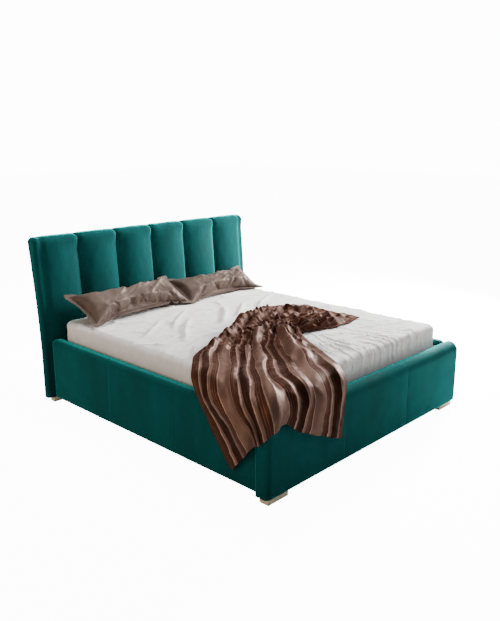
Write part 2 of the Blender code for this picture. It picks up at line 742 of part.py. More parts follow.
def build():
    for obj in list(bpy.data.objects):
        bpy.data.objects.remove(obj, do_unlink=True)
    make_headboard()
    make_side_rail(-1.0, "left")
    make_side_rail(1.0, "right")
    make_footboard()
    make_feet()
    make_corner_brackets()
    make_storage_floor()
    make_mechanism(-1.0, "left")
    make_mechanism(1.0, "right")
    make_platform()
    make_mattress()
    make_pillow("pillow_left", -0.415)
    make_pillow("pillow_right", 0.482)
    make_throw()


build()
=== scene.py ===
"""Looks of the upholstered storage bed: velvet pads, made-up bedding and every part's material."""
import math

import bmesh
import bpy
import numpy as np
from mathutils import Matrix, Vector


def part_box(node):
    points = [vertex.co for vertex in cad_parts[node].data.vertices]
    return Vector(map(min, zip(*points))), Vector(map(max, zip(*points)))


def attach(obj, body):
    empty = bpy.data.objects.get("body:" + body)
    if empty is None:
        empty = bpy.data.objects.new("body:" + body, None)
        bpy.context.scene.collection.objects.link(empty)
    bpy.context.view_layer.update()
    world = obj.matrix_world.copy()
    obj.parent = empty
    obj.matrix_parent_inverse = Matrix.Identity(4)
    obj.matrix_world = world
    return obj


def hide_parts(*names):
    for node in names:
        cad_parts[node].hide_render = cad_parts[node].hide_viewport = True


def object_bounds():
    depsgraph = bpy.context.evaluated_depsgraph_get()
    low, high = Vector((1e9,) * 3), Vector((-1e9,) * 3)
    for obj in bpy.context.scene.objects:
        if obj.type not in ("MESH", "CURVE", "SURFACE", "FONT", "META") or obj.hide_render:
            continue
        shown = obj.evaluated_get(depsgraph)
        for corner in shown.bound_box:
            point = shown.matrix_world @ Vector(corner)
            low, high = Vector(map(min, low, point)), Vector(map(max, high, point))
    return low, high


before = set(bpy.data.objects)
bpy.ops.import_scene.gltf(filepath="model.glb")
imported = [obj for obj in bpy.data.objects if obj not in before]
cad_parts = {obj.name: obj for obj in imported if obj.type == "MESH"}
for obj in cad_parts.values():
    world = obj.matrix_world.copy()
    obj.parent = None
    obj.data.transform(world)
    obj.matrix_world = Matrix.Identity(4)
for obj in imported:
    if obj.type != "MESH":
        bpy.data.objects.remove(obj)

CAD_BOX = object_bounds()
BASE = "base"
PLATFORM = "platform"
SIDES = (("left", -1.0), ("right", 1.0))

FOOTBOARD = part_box("footboard_pad")
FOOT_FRONT = FOOTBOARD[0][1]
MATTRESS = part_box("mattress")
MATTRESS_TOP = MATTRESS[1][2]


def bed_y(y):
    """World Y of a distance from the footboard's front face."""
    return FOOT_FRONT + y


HEADBOARD_TOP = CAD_BOX[1][2]
HEADBOARD_FRONT = bed_y(2.135)
HEADBOARD_BACK = bed_y(2.200)
LEAN_START = 0.350            # height where the headboard starts to lean back
FRONT_LEAN = 0.055            # lean of its front and back at the top
BACK_LEAN = 0.087
END_ROLL = 0.018              # how far the padding stands proud of the headboard's ends
FACE_PROUD = 0.012            # and of its face, above the mattress


# ---- numbers ----
def smoothstep(low, high, value):
    t = np.clip((value - low) / (high - low), 0.0, 1.0)
    return t * t * (3.0 - 2.0 * t)


def lattice(ix, iy, seed):
    """A repeatable pseudo-random number from 0 to 1 at each whole-number point."""
    h = (ix.astype(np.int64) * 374761393 + iy.astype(np.int64) * 668265263 + seed * 1442695041) & 0x7FFFFFFF
    h = ((h ^ (h >> 13)) * 1274126177) & 0x7FFFFFFF
    return ((h ^ (h >> 16)) & 0xFFFF) / 65535.0


def noise(x, y, seed):
    """Smooth noise from -1 to 1 over a plane."""
    x = np.asarray(x, dtype=float)
    y = np.asarray(y, dtype=float)
    ix = np.floor(x)
    iy = np.floor(y)
    fx = x - ix
    fy = y - iy
    fx = fx * fx * fx * (fx * (fx * 6.0 - 15.0) + 10.0)
    fy = fy * fy * fy * (fy * (fy * 6.0 - 15.0) + 10.0)
    a = lattice(ix, iy, seed)
    b = lattice(ix + 1, iy, seed)
    c = lattice(ix, iy + 1, seed)
    d = lattice(ix + 1, iy + 1, seed)
    return 2.0 * ((a * (1 - fx) + b * fx) * (1 - fy) + (c * (1 - fx) + d * fx) * fy) - 1.0


def layered_noise(x, y, seed):
    """Three octaves of noise, from -1 to 1."""
    total = 0.0
    for octave in range(3):
        total = total + 0.5 ** octave * noise(x * 2.0 ** octave, y * 2.0 ** octave, seed + octave)
    return total / 1.75


def ridges(x, y, seed):
    """Sharp creases between soft hollows, from 0 to 1."""
    shift = 0.35 * noise(x * 0.7, y * 0.7, seed + 5)
    return (1.0 - np.abs(noise(x + shift, y - shift, seed))) ** 2


def bell(value, width):
    """1 at nothing, falling away smoothly on both sides."""
    return np.exp(-(value / width) ** 2)


# ---- meshes ----
def link(obj):
    bpy.context.scene.collection.objects.link(obj)
    return obj


def mesh_object(name, verts, faces, material=None):
    """A smooth-shaded object from a list of points and a list of faces, each a row of point numbers."""
    mesh = bpy.data.meshes.new(name)
    mesh.from_pydata([tuple(v) for v in np.asarray(verts, dtype=float)], [], [tuple(f) for f in faces])
    mesh.update()
    mesh.shade_smooth()
    if material:
        mesh.materials.append(material)
    return link(bpy.data.objects.new(name, mesh))


def grid_faces(rows, columns, wrap=False):
    """Quads of a grid of points stored row by row; wrap joins the last column to the first."""
    i, j = np.meshgrid(np.arange(rows - 1), np.arange(columns if wrap else columns - 1), indexing="ij")
    i = i.ravel()
    j = j.ravel()
    k = (j + 1) % columns
    corners = [i * columns + j, i * columns + k, (i + 1) * columns + k, (i + 1) * columns + j]
    return np.stack(corners, 1).tolist()


def face_outwards(obj):
    bm = bmesh.new()
    bm.from_mesh(obj.data)
    bmesh.ops.recalc_face_normals(bm, faces=bm.faces)
    bm.to_mesh(obj.data)
    bm.free()


def skin(name, rings, material):
    """A closed solid through a row of rings, each with the same number of points, with flat ends."""
    rings = np.asarray(rings)
    count, points = rings.shape[:2]
    faces = grid_faces(count, points, wrap=True)
    faces.append(list(range(points))[::-1])
    faces.append([(count - 1) * points + j for j in range(points)])
    obj = mesh_object(name, rings.reshape(-1, 3), faces, material)
    face_outwards(obj)
    obj.data.set_sharp_from_angle(angle=math.radians(50.0))
    for cap in (-1, -2):
        obj.data.polygons[cap].use_smooth = False
    return obj


def apply_modifier(obj, kind, **settings):
    modifier = obj.modifiers.new(kind.lower(), kind)
    for key, value in settings.items():
        setattr(modifier, key, value)
    bpy.context.view_layer.objects.active = obj
    with bpy.context.temp_override(object=obj, active_object=obj):
        bpy.ops.object.modifier_apply(modifier=modifier.name)


def run_along(path):
    """Distance of each point of a path from its start, along the path."""
    return np.concatenate([[0.0], np.cumsum(np.linalg.norm(np.diff(path, axis=0), axis=1))])


def resample(path, spacing):
    """Points at an even spacing along a path of (u, v) points."""
    along = run_along(path)
    at = np.linspace(0.0, along[-1], max(2, int(round(along[-1] / spacing)) + 1))
    return np.stack([np.interp(at, along, path[:, k]) for k in (0, 1)], 1)


def path_normals(path):
    """Unit normals of a path of (u, v) points, on its left-hand side."""
    tangent = np.gradient(path, axis=0)
    tangent /= np.linalg.norm(tangent, axis=1)[:, None]
    return np.stack([-tangent[:, 1], tangent[:, 0]], 1)


def arc(centre, radius, start, end, steps):
    angles = np.radians(np.linspace(start, end, steps + 1))
    return np.stack([centre[0] + radius * np.cos(angles), centre[1] + radius * np.sin(angles)], 1)


def round_inset(distance, radius):
    """How far a rounded edge has drawn in, at a distance from the end of the piece."""
    d = np.clip(radius - distance, 0.0, radius)
    return radius - np.sqrt(np.maximum(radius * radius - d * d, 0.0))


def stations(low, high, spacing, marks, ends, end_steps=7):
    """Places along a piece: even, closer together at its rounded ends, and bunched at the marks."""
    count = max(3, int(round((high - low - 2.0 * ends) / spacing)) + 1)
    places = list(np.linspace(low + ends, high - ends, count))
    turn = ends * (1.0 - np.cos(np.linspace(0.0, math.pi / 2.0, end_steps + 1)[:-1]))
    places += list(low + turn) + list(high - turn)
    for mark in marks:
        places += [mark + side * away for side in (-1, 1) for away in (0.012, 0.007, 0.0035, 0.0015, 0.0)]
    return np.unique(np.round(places, 5))


def cross_section(x, points):
    """Points of a cross-section in the YZ plane, put at their place along X."""
    return np.column_stack([np.full(len(points), x), points])


def end_rounding(path, normals, distance, front, front_radius, top_radius, back_radius):
    """Shift of a cross-section's points near the end of a pad, so that its corners are rounded.

    front is the sign of the first axis towards the pad's face. The underside keeps its height."""
    drawn_front = round_inset(distance, front_radius)
    drawn_back = round_inset(distance, back_radius)
    facing = normals[:, 0] * front
    depth = path[:, 0] * front
    share = (depth - depth.min()) / np.ptp(depth)
    around = -normals[:, 0] * np.where(facing > 0.0, drawn_front, drawn_back)
    under = -front * (share * drawn_front - (1.0 - share) * drawn_back)
    across = np.where(normals[:, 1] < -0.01, under, around)
    return np.stack([across, -np.maximum(normals[:, 1], 0.0) * round_inset(distance, top_radius)], 1)


def seam_groove(distance):
    """Depth of a stitched seam's groove at a distance from it, with the fabric pulled in beside it."""
    return 0.0005 * bell(distance, 0.0035) + 0.0003 * bell(distance, 0.018)


# ---- materials ----
class Nodes:
    """Shorthand for the node tree of one material."""

    def __init__(self, name):
        self.material = bpy.data.materials.new(name)
        self.material.use_nodes = True
        self.tree = self.material.node_tree
        self.shader = self.tree.nodes["Principled BSDF"]
        self.coords = self.new("ShaderNodeTexCoord").outputs["Object"]

    def new(self, kind, inputs=None, **settings):
        """A new node. Each input is a number, a colour or another node's output."""
        node = self.tree.nodes.new(kind)
        for key, value in settings.items():
            setattr(node, key, value)
        for key, value in (inputs or {}).items():
            self.put(node.inputs[key], value)
        return node

    def put(self, socket, value):
        if isinstance(value, bpy.types.NodeSocket):
            self.tree.links.new(value, socket)
        else:
            socket.default_value = value

    def done(self, **values):
        """The material, once these inputs of its shader are set."""
        for name, value in values.items():
            self.put(self.shader.inputs[name.replace("_", " ")], value)
        return self.material

    def stretched(self, scale):
        return self.new("ShaderNodeMapping", {"Scale": scale, "Vector": self.coords}).outputs["Vector"]

    def noise(self, scale, detail=2.0, roughness=0.5, source=None, distortion=0.0):
        inputs = {"Scale": scale, "Detail": detail, "Roughness": roughness, "Distortion": distortion,
                  "Vector": source or self.coords}
        return self.new("ShaderNodeTexNoise", inputs).outputs["Fac"]

    def wave(self, scale, axis="X", distortion=0.0, source=None):
        inputs = {"Scale": scale, "Distortion": distortion, "Detail": 1.0, "Vector": source or self.coords}
        return self.new("ShaderNodeTexWave", inputs, bands_direction=axis).outputs["Fac"]

    def cells(self, scale):
        return self.new("ShaderNodeTexVoronoi", {"Scale": scale, "Vector": self.coords}).outputs["Distance"]

    def math(self, operation, first, second=0.0):
        return self.new("ShaderNodeMath", {0: first, 1: second}, operation=operation).outputs[0]

    def steps(self, source, stops):
        """A colour that changes at each stop, without blending."""
        node = self.new("ShaderNodeValToRGB", {"Fac": source})
        node.color_ramp.interpolation = "CONSTANT"
        elements = node.color_ramp.elements
        while len(elements) < len(stops):
            elements.new(0.5)
        for element, (place, color) in zip(elements, stops):
            element.position = place
            element.color = (*color, 1.0)
        return node.outputs["Color"]

    def grey(self, source, low, high, start=0.0, end=1.0):
        """A number that runs from low to high as the source runs from start to end."""
        inputs = {"Value": source, "From Min": start, "From Max": end, "To Min": low, "To Max": high}
        return self.new("ShaderNodeMapRange", inputs).outputs["Result"]

    def mix(self, share, first, second):
        """A colour part of the way from the first to the second."""
        first, second = (c if isinstance(c, bpy.types.NodeSocket) else (*c, 1.0) for c in (first, second))
        return self.new("ShaderNodeMix", {0: share, 6: first, 7: second}, data_type="RGBA").outputs[2]

    def tones(self, source, dark, pale, start=0.3, end=0.7):
        """A colour that runs from dark to pale as the source runs from start to end."""
        return self.mix(self.grey(source, 0.0, 1.0, start, end), dark, pale)

    def bump(self, height, strength, distance, after=None):
        inputs = {"Strength": strength, "Distance": distance, "Height": height}
        if after:
            inputs["Normal"] = after
        return self.new("ShaderNodeBump", inputs).outputs["Normal"]


def velvet_material():
    m = Nodes("teal_velvet")
    nap = m.noise(5.0, 3.0, 0.6, m.stretched((1.0, 1.0, 0.35)))
    fibre = m.noise(420.0, 2.0, 0.7)
    color = m.tones(nap, (0.0, 0.042, 0.042), (0.0002, 0.068, 0.067))
    color = m.mix(m.grey(fibre, 0.0, 0.30, 0.35, 0.75), color, (0.0006, 0.095, 0.092))
    # painted sheen: the base colour turns bright teal where the surface is seen at a grazing angle
    facing = m.new("ShaderNodeLayerWeight", {"Blend": 0.5}).outputs["Facing"]
    color = m.mix(m.grey(facing, 0.0, 0.9, 0.50, 0.85), color, (0.008, 0.26, 0.25))
    pile = m.bump(fibre, 0.35, 0.0012)
    return m.done(Base_Color=color, Roughness=m.grey(nap, 0.75, 0.9, 0.3, 0.7), Specular_IOR_Level=0.05,
                  Sheen_Weight=1.0, Sheen_Roughness=0.30, Sheen_Tint=(0.03, 0.95, 0.90, 1.0),
                  Normal=m.bump(m.noise(28.0, 3.0, 0.6), 0.10, 0.004, pile))


def cotton_material():
    m = Nodes("white_cotton")
    threads = m.math("MULTIPLY", m.wave(520.0, "X", 0.6), m.wave(520.0, "Y", 0.6))
    soft = m.noise(14.0, 3.0, 0.6)
    color = m.tones(soft, (0.76, 0.735, 0.715), (0.84, 0.82, 0.805))
    weave = m.bump(threads, 0.25, 0.0004)
    creases = m.noise(60.0, 4.0, 0.55, m.stretched((1.0, 2.2, 1.0)))
    return m.done(Base_Color=color, Roughness=m.grey(soft, 0.80, 0.92), Sheen_Weight=0.25,
                  Sheen_Roughness=0.5, Sheen_Tint=(1.0, 0.98, 0.96, 1.0),
                  Normal=m.bump(creases, 0.22, 0.003, weave))


def satin_material():
    m = Nodes("brown_satin")
    threads = m.wave(650.0, "X", 0.4)
    tone = m.noise(9.0, 3.0, 0.6)
    color = m.tones(tone, (0.084, 0.057, 0.045), (0.140, 0.100, 0.081))
    weave = m.bump(threads, 0.15, 0.0003)
    return m.done(Base_Color=color, Metallic=0.30, Roughness=m.grey(tone, 0.50, 0.60), Anisotropic=0.4,
                  Specular_IOR_Level=0.08, Sheen_Weight=0.05, Sheen_Roughness=0.35,
                  Sheen_Tint=(0.95, 0.82, 0.74, 1.0),
                  Normal=m.bump(m.noise(75.0, 3.0, 0.6), 0.14, 0.003, weave))


def lining_material():
    m = Nodes("black_lining")
    dots = m.cells(420.0)
    cloud = m.noise(12.0, 3.0, 0.6)
    color = m.tones(cloud, (0.014, 0.014, 0.015), (0.030, 0.030, 0.032))
    return m.done(Base_Color=color, Roughness=m.grey(dots, 0.78, 0.95, 0.0, 0.6), Sheen_Weight=0.15,
                  Normal=m.bump(m.noise(18.0, 3.0, 0.5), 0.25, 0.006, m.bump(dots, 0.5, 0.0006)))


def wood_material(name, dark, pale, grain_axis, roughness, scale=1.0):
    """Timber with its grain along one axis: growth rings, fibres and a few darker streaks."""
    m = Nodes(name)
    squeeze = {"X": (0.06, 1.0, 1.0), "Y": (1.0, 0.06, 1.0), "Z": (1.0, 1.0, 0.06)}[grain_axis]
    along = m.stretched(squeeze)
    rings = m.noise(26.0 * scale, 4.0, 0.6, along, 0.8)
    fibres = m.noise(240.0 * scale, 3.0, 0.7, along)
    streak = tuple(0.62 * c for c in dark)
    color = m.mix(m.grey(fibres, 0.0, 0.4, 0.5, 0.8), m.tones(rings, dark, pale, 0.32, 0.68), streak)
    return m.done(Base_Color=color, Roughness=m.grey(fibres, roughness - 0.08, roughness + 0.1),
                  Normal=m.bump(fibres, 0.3, 0.0008))


def steel_material():
    m = Nodes("black_powder_coat")
    grain = m.cells(900.0)
    smear = m.noise(22.0, 4.0, 0.6)
    color = m.tones(smear, (0.012, 0.012, 0.013), (0.028, 0.028, 0.030), 0.3, 0.75)
    return m.done(Base_Color=color, Roughness=m.grey(smear, 0.38, 0.55), Metallic=0.25,
                  Normal=m.bump(grain, 0.35, 0.0003))


def chrome_material():
    m = Nodes("hard_chrome")
    scratches = m.noise(300.0, 2.0, 0.6, m.stretched((1.0, 0.1, 0.1)))
    tone = m.mix(scratches, (0.50, 0.51, 0.53), (0.66, 0.67, 0.69))
    return m.done(Base_Color=tone, Roughness=m.grey(scratches, 0.10, 0.26), Metallic=1.0,
                  Normal=m.bump(scratches, 0.06, 0.0002))


def panel_material():
    m = Nodes("fibreboard")
    flecks = m.noise(160.0, 4.0, 0.75)
    cloud = m.noise(4.0, 2.0, 0.5)
    color = m.tones(flecks, (0.46, 0.40, 0.32), (0.60, 0.54, 0.45), 0.35, 0.65)
    color = m.mix(m.grey(cloud, 0.0, 0.25, 0.3, 0.7), color, (0.40, 0.34, 0.27))
    return m.done(Base_Color=color, Roughness=m.grey(flecks, 0.62, 0.80),
                  Normal=m.bump(flecks, 0.15, 0.0006))


def plastic_material():
    m = Nodes("black_plastic")
    grain = m.noise(500.0, 2.0, 0.6)
    color = m.mix(grain, (0.010, 0.010, 0.011), (0.022, 0.022, 0.024))
    return m.done(Base_Color=color, Roughness=m.grey(grain, 0.42, 0.58),
                  Normal=m.bump(grain, 0.25, 0.0004))


def ticking_material():
    m = Nodes("mattress_ticking")
    quilt = m.math("MULTIPLY", m.wave(7.0, "X"), m.wave(7.0, "Y"))
    knit = m.noise(380.0, 2.0, 0.6)
    color = m.tones(knit, (0.66, 0.64, 0.60), (0.76, 0.74, 0.71))
    return m.done(Base_Color=color, Roughness=m.grey(knit, 0.80, 0.92), Sheen_Weight=0.2,
                  Normal=m.bump(quilt, 0.5, 0.008, m.bump(knit, 0.3, 0.0008)))


STRIPE_REPEAT = 0.354         # width of the blanket's pattern: two lined bands, a dark one and a plain one


def stripes_material():
    """A silky striped blanket: chocolate and taupe bands with fine lines beside them."""
    m = Nodes("striped_silk")
    uv = m.new("ShaderNodeUVMap", uv_map="flat").outputs["UV"]
    split = m.new("ShaderNodeSeparateXYZ", {"Vector": uv})
    wobble = m.grey(m.noise(90.0, 2.0, 0.6, uv), -0.002, 0.002)
    place = m.math("FRACT", m.math("DIVIDE", m.math("ADD", split.outputs["X"], wobble), STRIPE_REPEAT))
    dark = (0.029, 0.0098, 0.0053)
    brown = (0.058, 0.0215, 0.0125)
    taupe = (0.160, 0.093, 0.070)
    line = (0.34, 0.215, 0.172)
    edges = ((0.000, brown), (0.045, taupe), (0.052, brown), (0.090, taupe), (0.097, brown), (0.170, line),
             (0.200, taupe), (0.250, dark), (0.440, line), (0.460, taupe), (0.530, brown), (0.570, taupe),
             (0.577, brown), (0.615, taupe), (0.622, brown), (0.670, line), (0.685, taupe), (0.985, line))
    bands = m.steps(place, edges)
    tone = m.noise(7.0, 3.0, 0.6)
    # painted shade: the folds of the far half are darkened in colour towards dark brown, and are less shiny
    painted_heap_shade = m.grey(split.outputs["Y"], 0.0, 0.70, 0.45, 1.25)
    bands = m.mix(painted_heap_shade, bands, (0.052, 0.020, 0.012))
    color = m.mix(m.grey(tone, 0.0, 0.25, 0.35, 0.7), bands, (0.055, 0.022, 0.013))
    weave = m.bump(m.wave(900.0, "X", 0.5, uv), 0.25, 0.0004)
    return m.done(Base_Color=color, Metallic=m.grey(split.outputs["Y"], 0.40, 0.12, 0.50, 1.30),
                  Roughness=m.grey(tone, 0.41, 0.53, 0.3, 0.7), Specular_IOR_Level=0.0,
                  Sheen_Weight=0.10, Sheen_Roughness=0.35, Sheen_Tint=(1.0, 0.60, 0.48, 1.0),
                  Normal=m.bump(m.noise(110.0, 3.0, 0.65, uv), 0.25, 0.0025, weave))


STRIPES = stripes_material()
VELVET = velvet_material()
COTTON = cotton_material()
SATIN = satin_material()
LINING = lining_material()
STEEL = steel_material()
CHROME = chrome_material()
PANEL = panel_material()
PLASTIC = plastic_material()
TICKING = ticking_material()
PINE = wood_material("pine_board", (0.40, 0.26, 0.13), (0.58, 0.42, 0.25), "Y", 0.62)
PINE_ACROSS = wood_material("pine_board_across", (0.40, 0.26, 0.13), (0.58, 0.42, 0.25), "X", 0.62)
BEECH = wood_material("pale_beech", (0.74, 0.58, 0.37), (0.88, 0.75, 0.53), "X", 0.42, 1.6)
BIRCH = wood_material("birch_slat", (0.55, 0.42, 0.26), (0.70, 0.57, 0.39), "X", 0.40)


# ---- velvet pads ----
POCKET_GAP = 0.0003           # between a cover and the board in its pocket


def sewn_surface(path, along, seams, face, cover, puff, fade, shift, seed):
    """How far a sewn cover stands out at a place along it: full between its seams, and drawn in at them."""
    away = min(abs(along - seam) for seam in seams)
    spread = np.full(len(path), along)
    dent = 0.0011 * layered_noise(spread * 3.0, path[:, 1] * 6.0 + shift, seed)
    fine = 0.0005 * noise(spread * 22.0, path[:, 1] * 10.0, seed + 1) * math.exp(-away / 0.08)
    full = puff * face * (1.0 - math.exp(-away / fade))
    return (dent + fine) * cover + full - seam_groove(away) * cover


def finish_padded(obj, node, body):
    """A padded piece in place of a CAD node."""
    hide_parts(node)
    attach(obj, body)


def lean(height):
    """Share of the headboard's backward lean reached at a height."""
    return np.clip((height - LEAN_START) / (HEADBOARD_TOP - LEAN_START), 0.0, None) ** 1.5


def front_at(height):
    """World Y of the headboard's padded face at a height."""
    proud = FACE_PROUD * smoothstep(0.50, 0.62, height)
    return HEADBOARD_FRONT + FRONT_LEAN * lean(height) - proud


def back_at(height):
    """World Y of its back at a height."""
    return HEADBOARD_BACK + BACK_LEAN * lean(height)


def headboard_outline(bottom, top, board_top):
    """Side view of a channel's cover as (y, z) points: up the face, over the top and down to the board."""
    edge = 0.010
    brow = 0.052
    radius = 0.032
    low_edge = arc((front_at(bottom) + edge, bottom + edge), edge, 270.0, 180.0, 4)
    up_z = np.linspace(bottom + 0.012, top - brow, 120)
    up = np.stack([front_at(up_z), up_z], 1)
    over_front = arc((front_at(top - brow) + brow, top - brow), brow, 180.0, 90.0, 12)
    over_back = arc((back_at(top - radius) - radius, top - radius), radius, 90.0, 0.0, 10)
    down = np.array([(back_at(board_top), board_top)])
    return resample(np.concatenate([low_edge, up, over_front, over_back, down]), 0.009)


def channel_places(x0, x1, outside, board_half):
    """Places across a channel, closer together at its seams, its rounded end and the board's end."""
    turn = np.sin(np.linspace(-math.pi / 2.0, math.pi / 2.0, 49))
    places = (x0 + x1) / 2.0 + (x1 - x0) / 2.0 * (0.40 * turn + 0.60 * np.linspace(-1.0, 1.0, 49))
    if outside is not None:
        side = math.copysign(1.0, outside)
        wall = side * board_half
        places = np.concatenate([places, [wall - side * 0.0005, wall + side * 0.0005],
                                 outside - side * 0.036 * (1.0 - np.cos(np.linspace(0.0, 1.45, 9)))])
    return np.unique(np.round(places, 5))


CHANNEL_DEPTH = 0.033         # of the valley between two channels
TOP_DEPTH = 0.004             # and of what is left of it on the top edge
END_DEPTH = 0.024             # how far the plain end draws in
END_GROOVE = 0.0065           # depth of the soft groove beside the plain end
PUCKER = 0.0006               # height of the puckers beside a seam
PUCKER_LENGTH = 0.055         # from one to the next
SWELL = 0.0026                # unevenness of the padding


def channel_depth(x, across, half, end, heights, topward, seed):
    """How far a channel's face draws in at a place across it, end away from its plain end if it has one."""
    swell = SWELL * layered_noise(heights * 5.0, x * 9.0 + 40.0, 3) * (1.0 - across ** 6)
    if end is not None:
        depth = END_DEPTH * across ** 2
        top_depth = TOP_DEPTH * across ** 2
        return depth + (top_depth - depth) * topward + END_GROOVE * bell(end - 0.052, 0.024) - swell
    depth = CHANNEL_DEPTH * across ** 2 + 0.005 * across ** 10
    top_depth = TOP_DEPTH * across ** 2 + 0.018 * across ** 12
    # the fabric puckers beside the seam
    pucker = PUCKER * math.exp(-half * (1.0 - across) / 0.030)
    ripple = np.sin(heights * 2.0 * math.pi / PUCKER_LENGTH + 2.2 * noise(heights * 9.0, x * 3.0, seed))
    return depth + (top_depth - depth) * topward + pucker * ripple - swell


def make_headboard():
    """Six upright padded channels, with a plain rounded end on the outer two."""
    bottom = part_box("headboard_channel_3")[0][2]
    top = HEADBOARD_TOP
    board_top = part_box("headboard_board")[1][2]
    board_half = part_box("headboard_board")[1][0]
    board_front_gap = 0.040
    outer = headboard_outline(bottom, top, board_top)
    normals = path_normals(outer)
    # the crown fades over the top and is gone at the back and at the bottom edge
    crown = 1.0 - smoothstep(front_at(top) + 0.03, back_at(top), outer[:, 0])
    crown = crown * smoothstep(bottom + 0.004, bottom + 0.080, outer[:, 1])
    topward = smoothstep(top - 0.12, top - 0.012, outer[:, 1])
    inner_z = np.linspace(board_top, bottom, 24)
    pocket = np.stack([front_at(inner_z) + board_front_gap, inner_z], 1)
    solid_z = np.linspace(board_top - 0.002, bottom, 24)
    solid = np.stack([back_at(solid_z), solid_z], 1)
    heights = outer[:, 1]

    for index in range(6):
        node = "headboard_channel_%d" % (index + 1)
        x0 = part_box(node)[0][0]
        x1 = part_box(node)[1][0]
        outside = {0: x0 - END_ROLL, 5: x1 + END_ROLL}.get(index)
        x0 = min(x0, outside or x0)
        x1 = max(x1, outside or x1)
        half = (x1 - x0) / 2.0
        middle = (x0 + x1) / 2.0
        rings = []
        for x in channel_places(x0, x1, outside, board_half):
            across = abs(x - middle) / half
            end = abs(outside - x) if outside is not None and (x - middle) * outside > 0.0 else None
            depth = channel_depth(x, across, half, end, heights, topward, 11 + index)
            ring = outer - normals * (depth * crown)[:, None]
            inner = pocket
            if end is not None:
                ring = ring + end_rounding(outer, normals, end, -1.0, 0.020, 0.034, 0.010)
                if abs(x) > board_half:
                    inner = solid - np.array([round_inset(end, 0.010), 0.0])
            rings.append(cross_section(x, np.concatenate([ring, inner])))
        pad = skin("headboard_pad_%d" % (index + 1), rings, VELVET)
        finish_padded(pad, node, BASE)


def make_rail_pads():
    """Side rail covers: a thick foam face folded over the board, in three sewn lengths."""
    for name, side in SIDES:
        low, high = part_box("side_rail_pad_" + name)
        outer_x = max(abs(low[0]), abs(high[0]))
        inner_x = min(abs(low[0]), abs(high[0]))
        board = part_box("side_rail_board_" + name)
        board_x = max(abs(board[0][0]), abs(board[1][0])) + POCKET_GAP
        board_top = board[1][2] + POCKET_GAP
        bottom = low[2]
        top = high[2]
        roll = 0.030
        lip = 0.014
        path = np.concatenate([
            [(board_x, bottom + 0.001)],
            arc((outer_x - 0.010, bottom + 0.010), 0.010, 270.0, 360.0, 4),
            arc((outer_x - roll, top - roll), roll, 0.0, 90.0, 10),
            arc((inner_x + lip, top - lip), lip, 90.0, 180.0, 5),
            [(inner_x, board_top)]])
        path = resample(path, 0.008)
        normals = -path_normals(path)
        face = smoothstep(outer_x - 0.030, outer_x - 0.004, path[:, 0])
        face *= smoothstep(bottom, bottom + 0.05, path[:, 1])
        cover = smoothstep(outer_x - 0.045, outer_x - 0.030, path[:, 0])
        seams = [low[1] + (high[1] - low[1]) * third / 3.0 for third in (1, 2)]
        rings = []
        for y in stations(low[1], high[1], 0.014, seams, 0.030):
            end = min(y - low[1], high[1] - y)
            amount = sewn_surface(path, y, seams, face, cover, 0.0007, 0.08, 7.0, 21)
            ring = path + normals * amount[:, None] + end_rounding(path, normals, end, 1.0, 0.014, 0.028, 0.0)
            ring[-1] = path[-1]
            ring = np.concatenate([ring, [(board_x, board_top)]])
            rings.append(np.column_stack([side * ring[:, 0], np.full(len(ring), y), ring[:, 1]]))
        pad = skin("side_rail_cover_" + name, rings, VELVET)
        finish_padded(pad, "side_rail_pad_" + name, BASE)


def make_footboard_pad():
    """The footboard's cover: a rolled front edge, rounded ends and two sewn seams."""
    low, high = FOOTBOARD
    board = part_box("footboard_board")
    board_front = board[0][1] - POCKET_GAP
    board_top = board[1][2] + POCKET_GAP
    board_half = board[1][0] + POCKET_GAP
    front, back = low[1], high[1]
    bottom, top = low[2], high[2]
    roll = 0.062
    lip = 0.032
    path = np.concatenate([
        [(board_front, bottom + 0.001)],
        arc((front + 0.012, bottom + 0.012), 0.012, 270.0, 180.0, 4),
        arc((front + roll, top - roll), roll, 180.0, 90.0, 14),
        arc((back - lip, top - lip), lip, 90.0, 0.0, 8),
        [(back, board_top)]])
    path = resample(path, 0.008)
    normals = path_normals(path)
    face = smoothstep(front + 0.035, front + 0.004, path[:, 0])
    face *= smoothstep(bottom, bottom + 0.06, path[:, 1])
    face *= 1.0 - 0.7 * smoothstep(top - 0.10, top - 0.02, path[:, 1])
    cover = smoothstep(bottom - 0.001, bottom + 0.02, path[:, 1])
    seams = (-(high[0] - low[0]) / 6.0, (high[0] - low[0]) / 6.0)
    pocket = np.array([(board_front, board_top), (board_front, bottom + 0.001)])
    solid = np.array([(back, (board_top + bottom) / 2.0), (back, bottom)])
    rings = []
    walls = (-board_half - 0.0004, -board_half + 0.0004, board_half - 0.0004, board_half + 0.0004)
    for x in np.unique(np.concatenate([stations(low[0], high[0], 0.014, seams, 0.030, 9), walls])):
        end = min(x - low[0], high[0] - x)
        amount = sewn_surface(path, x, seams, face, cover, 0.0008, 0.09, 3.0, 31)
        ring = path + normals * amount[:, None] + end_rounding(path, normals, end, -1.0, 0.028, 0.026, 0.012)
        inner = pocket
        if abs(x) > board_half:
            inner = solid - np.array([round_inset(end, 0.012), 0.0])
        else:
            ring[-1] = path[-1]
        rings.append(cross_section(x, np.concatenate([ring, inner])))
    pad = skin("footboard_cover", rings, VELVET)
    finish_padded(pad, "footboard_pad", BASE)


# ---- outline of the blanket ----
THROW_WIDTH = 1.30            # flat size of the blanket
THROW_LENGTH = 2.00
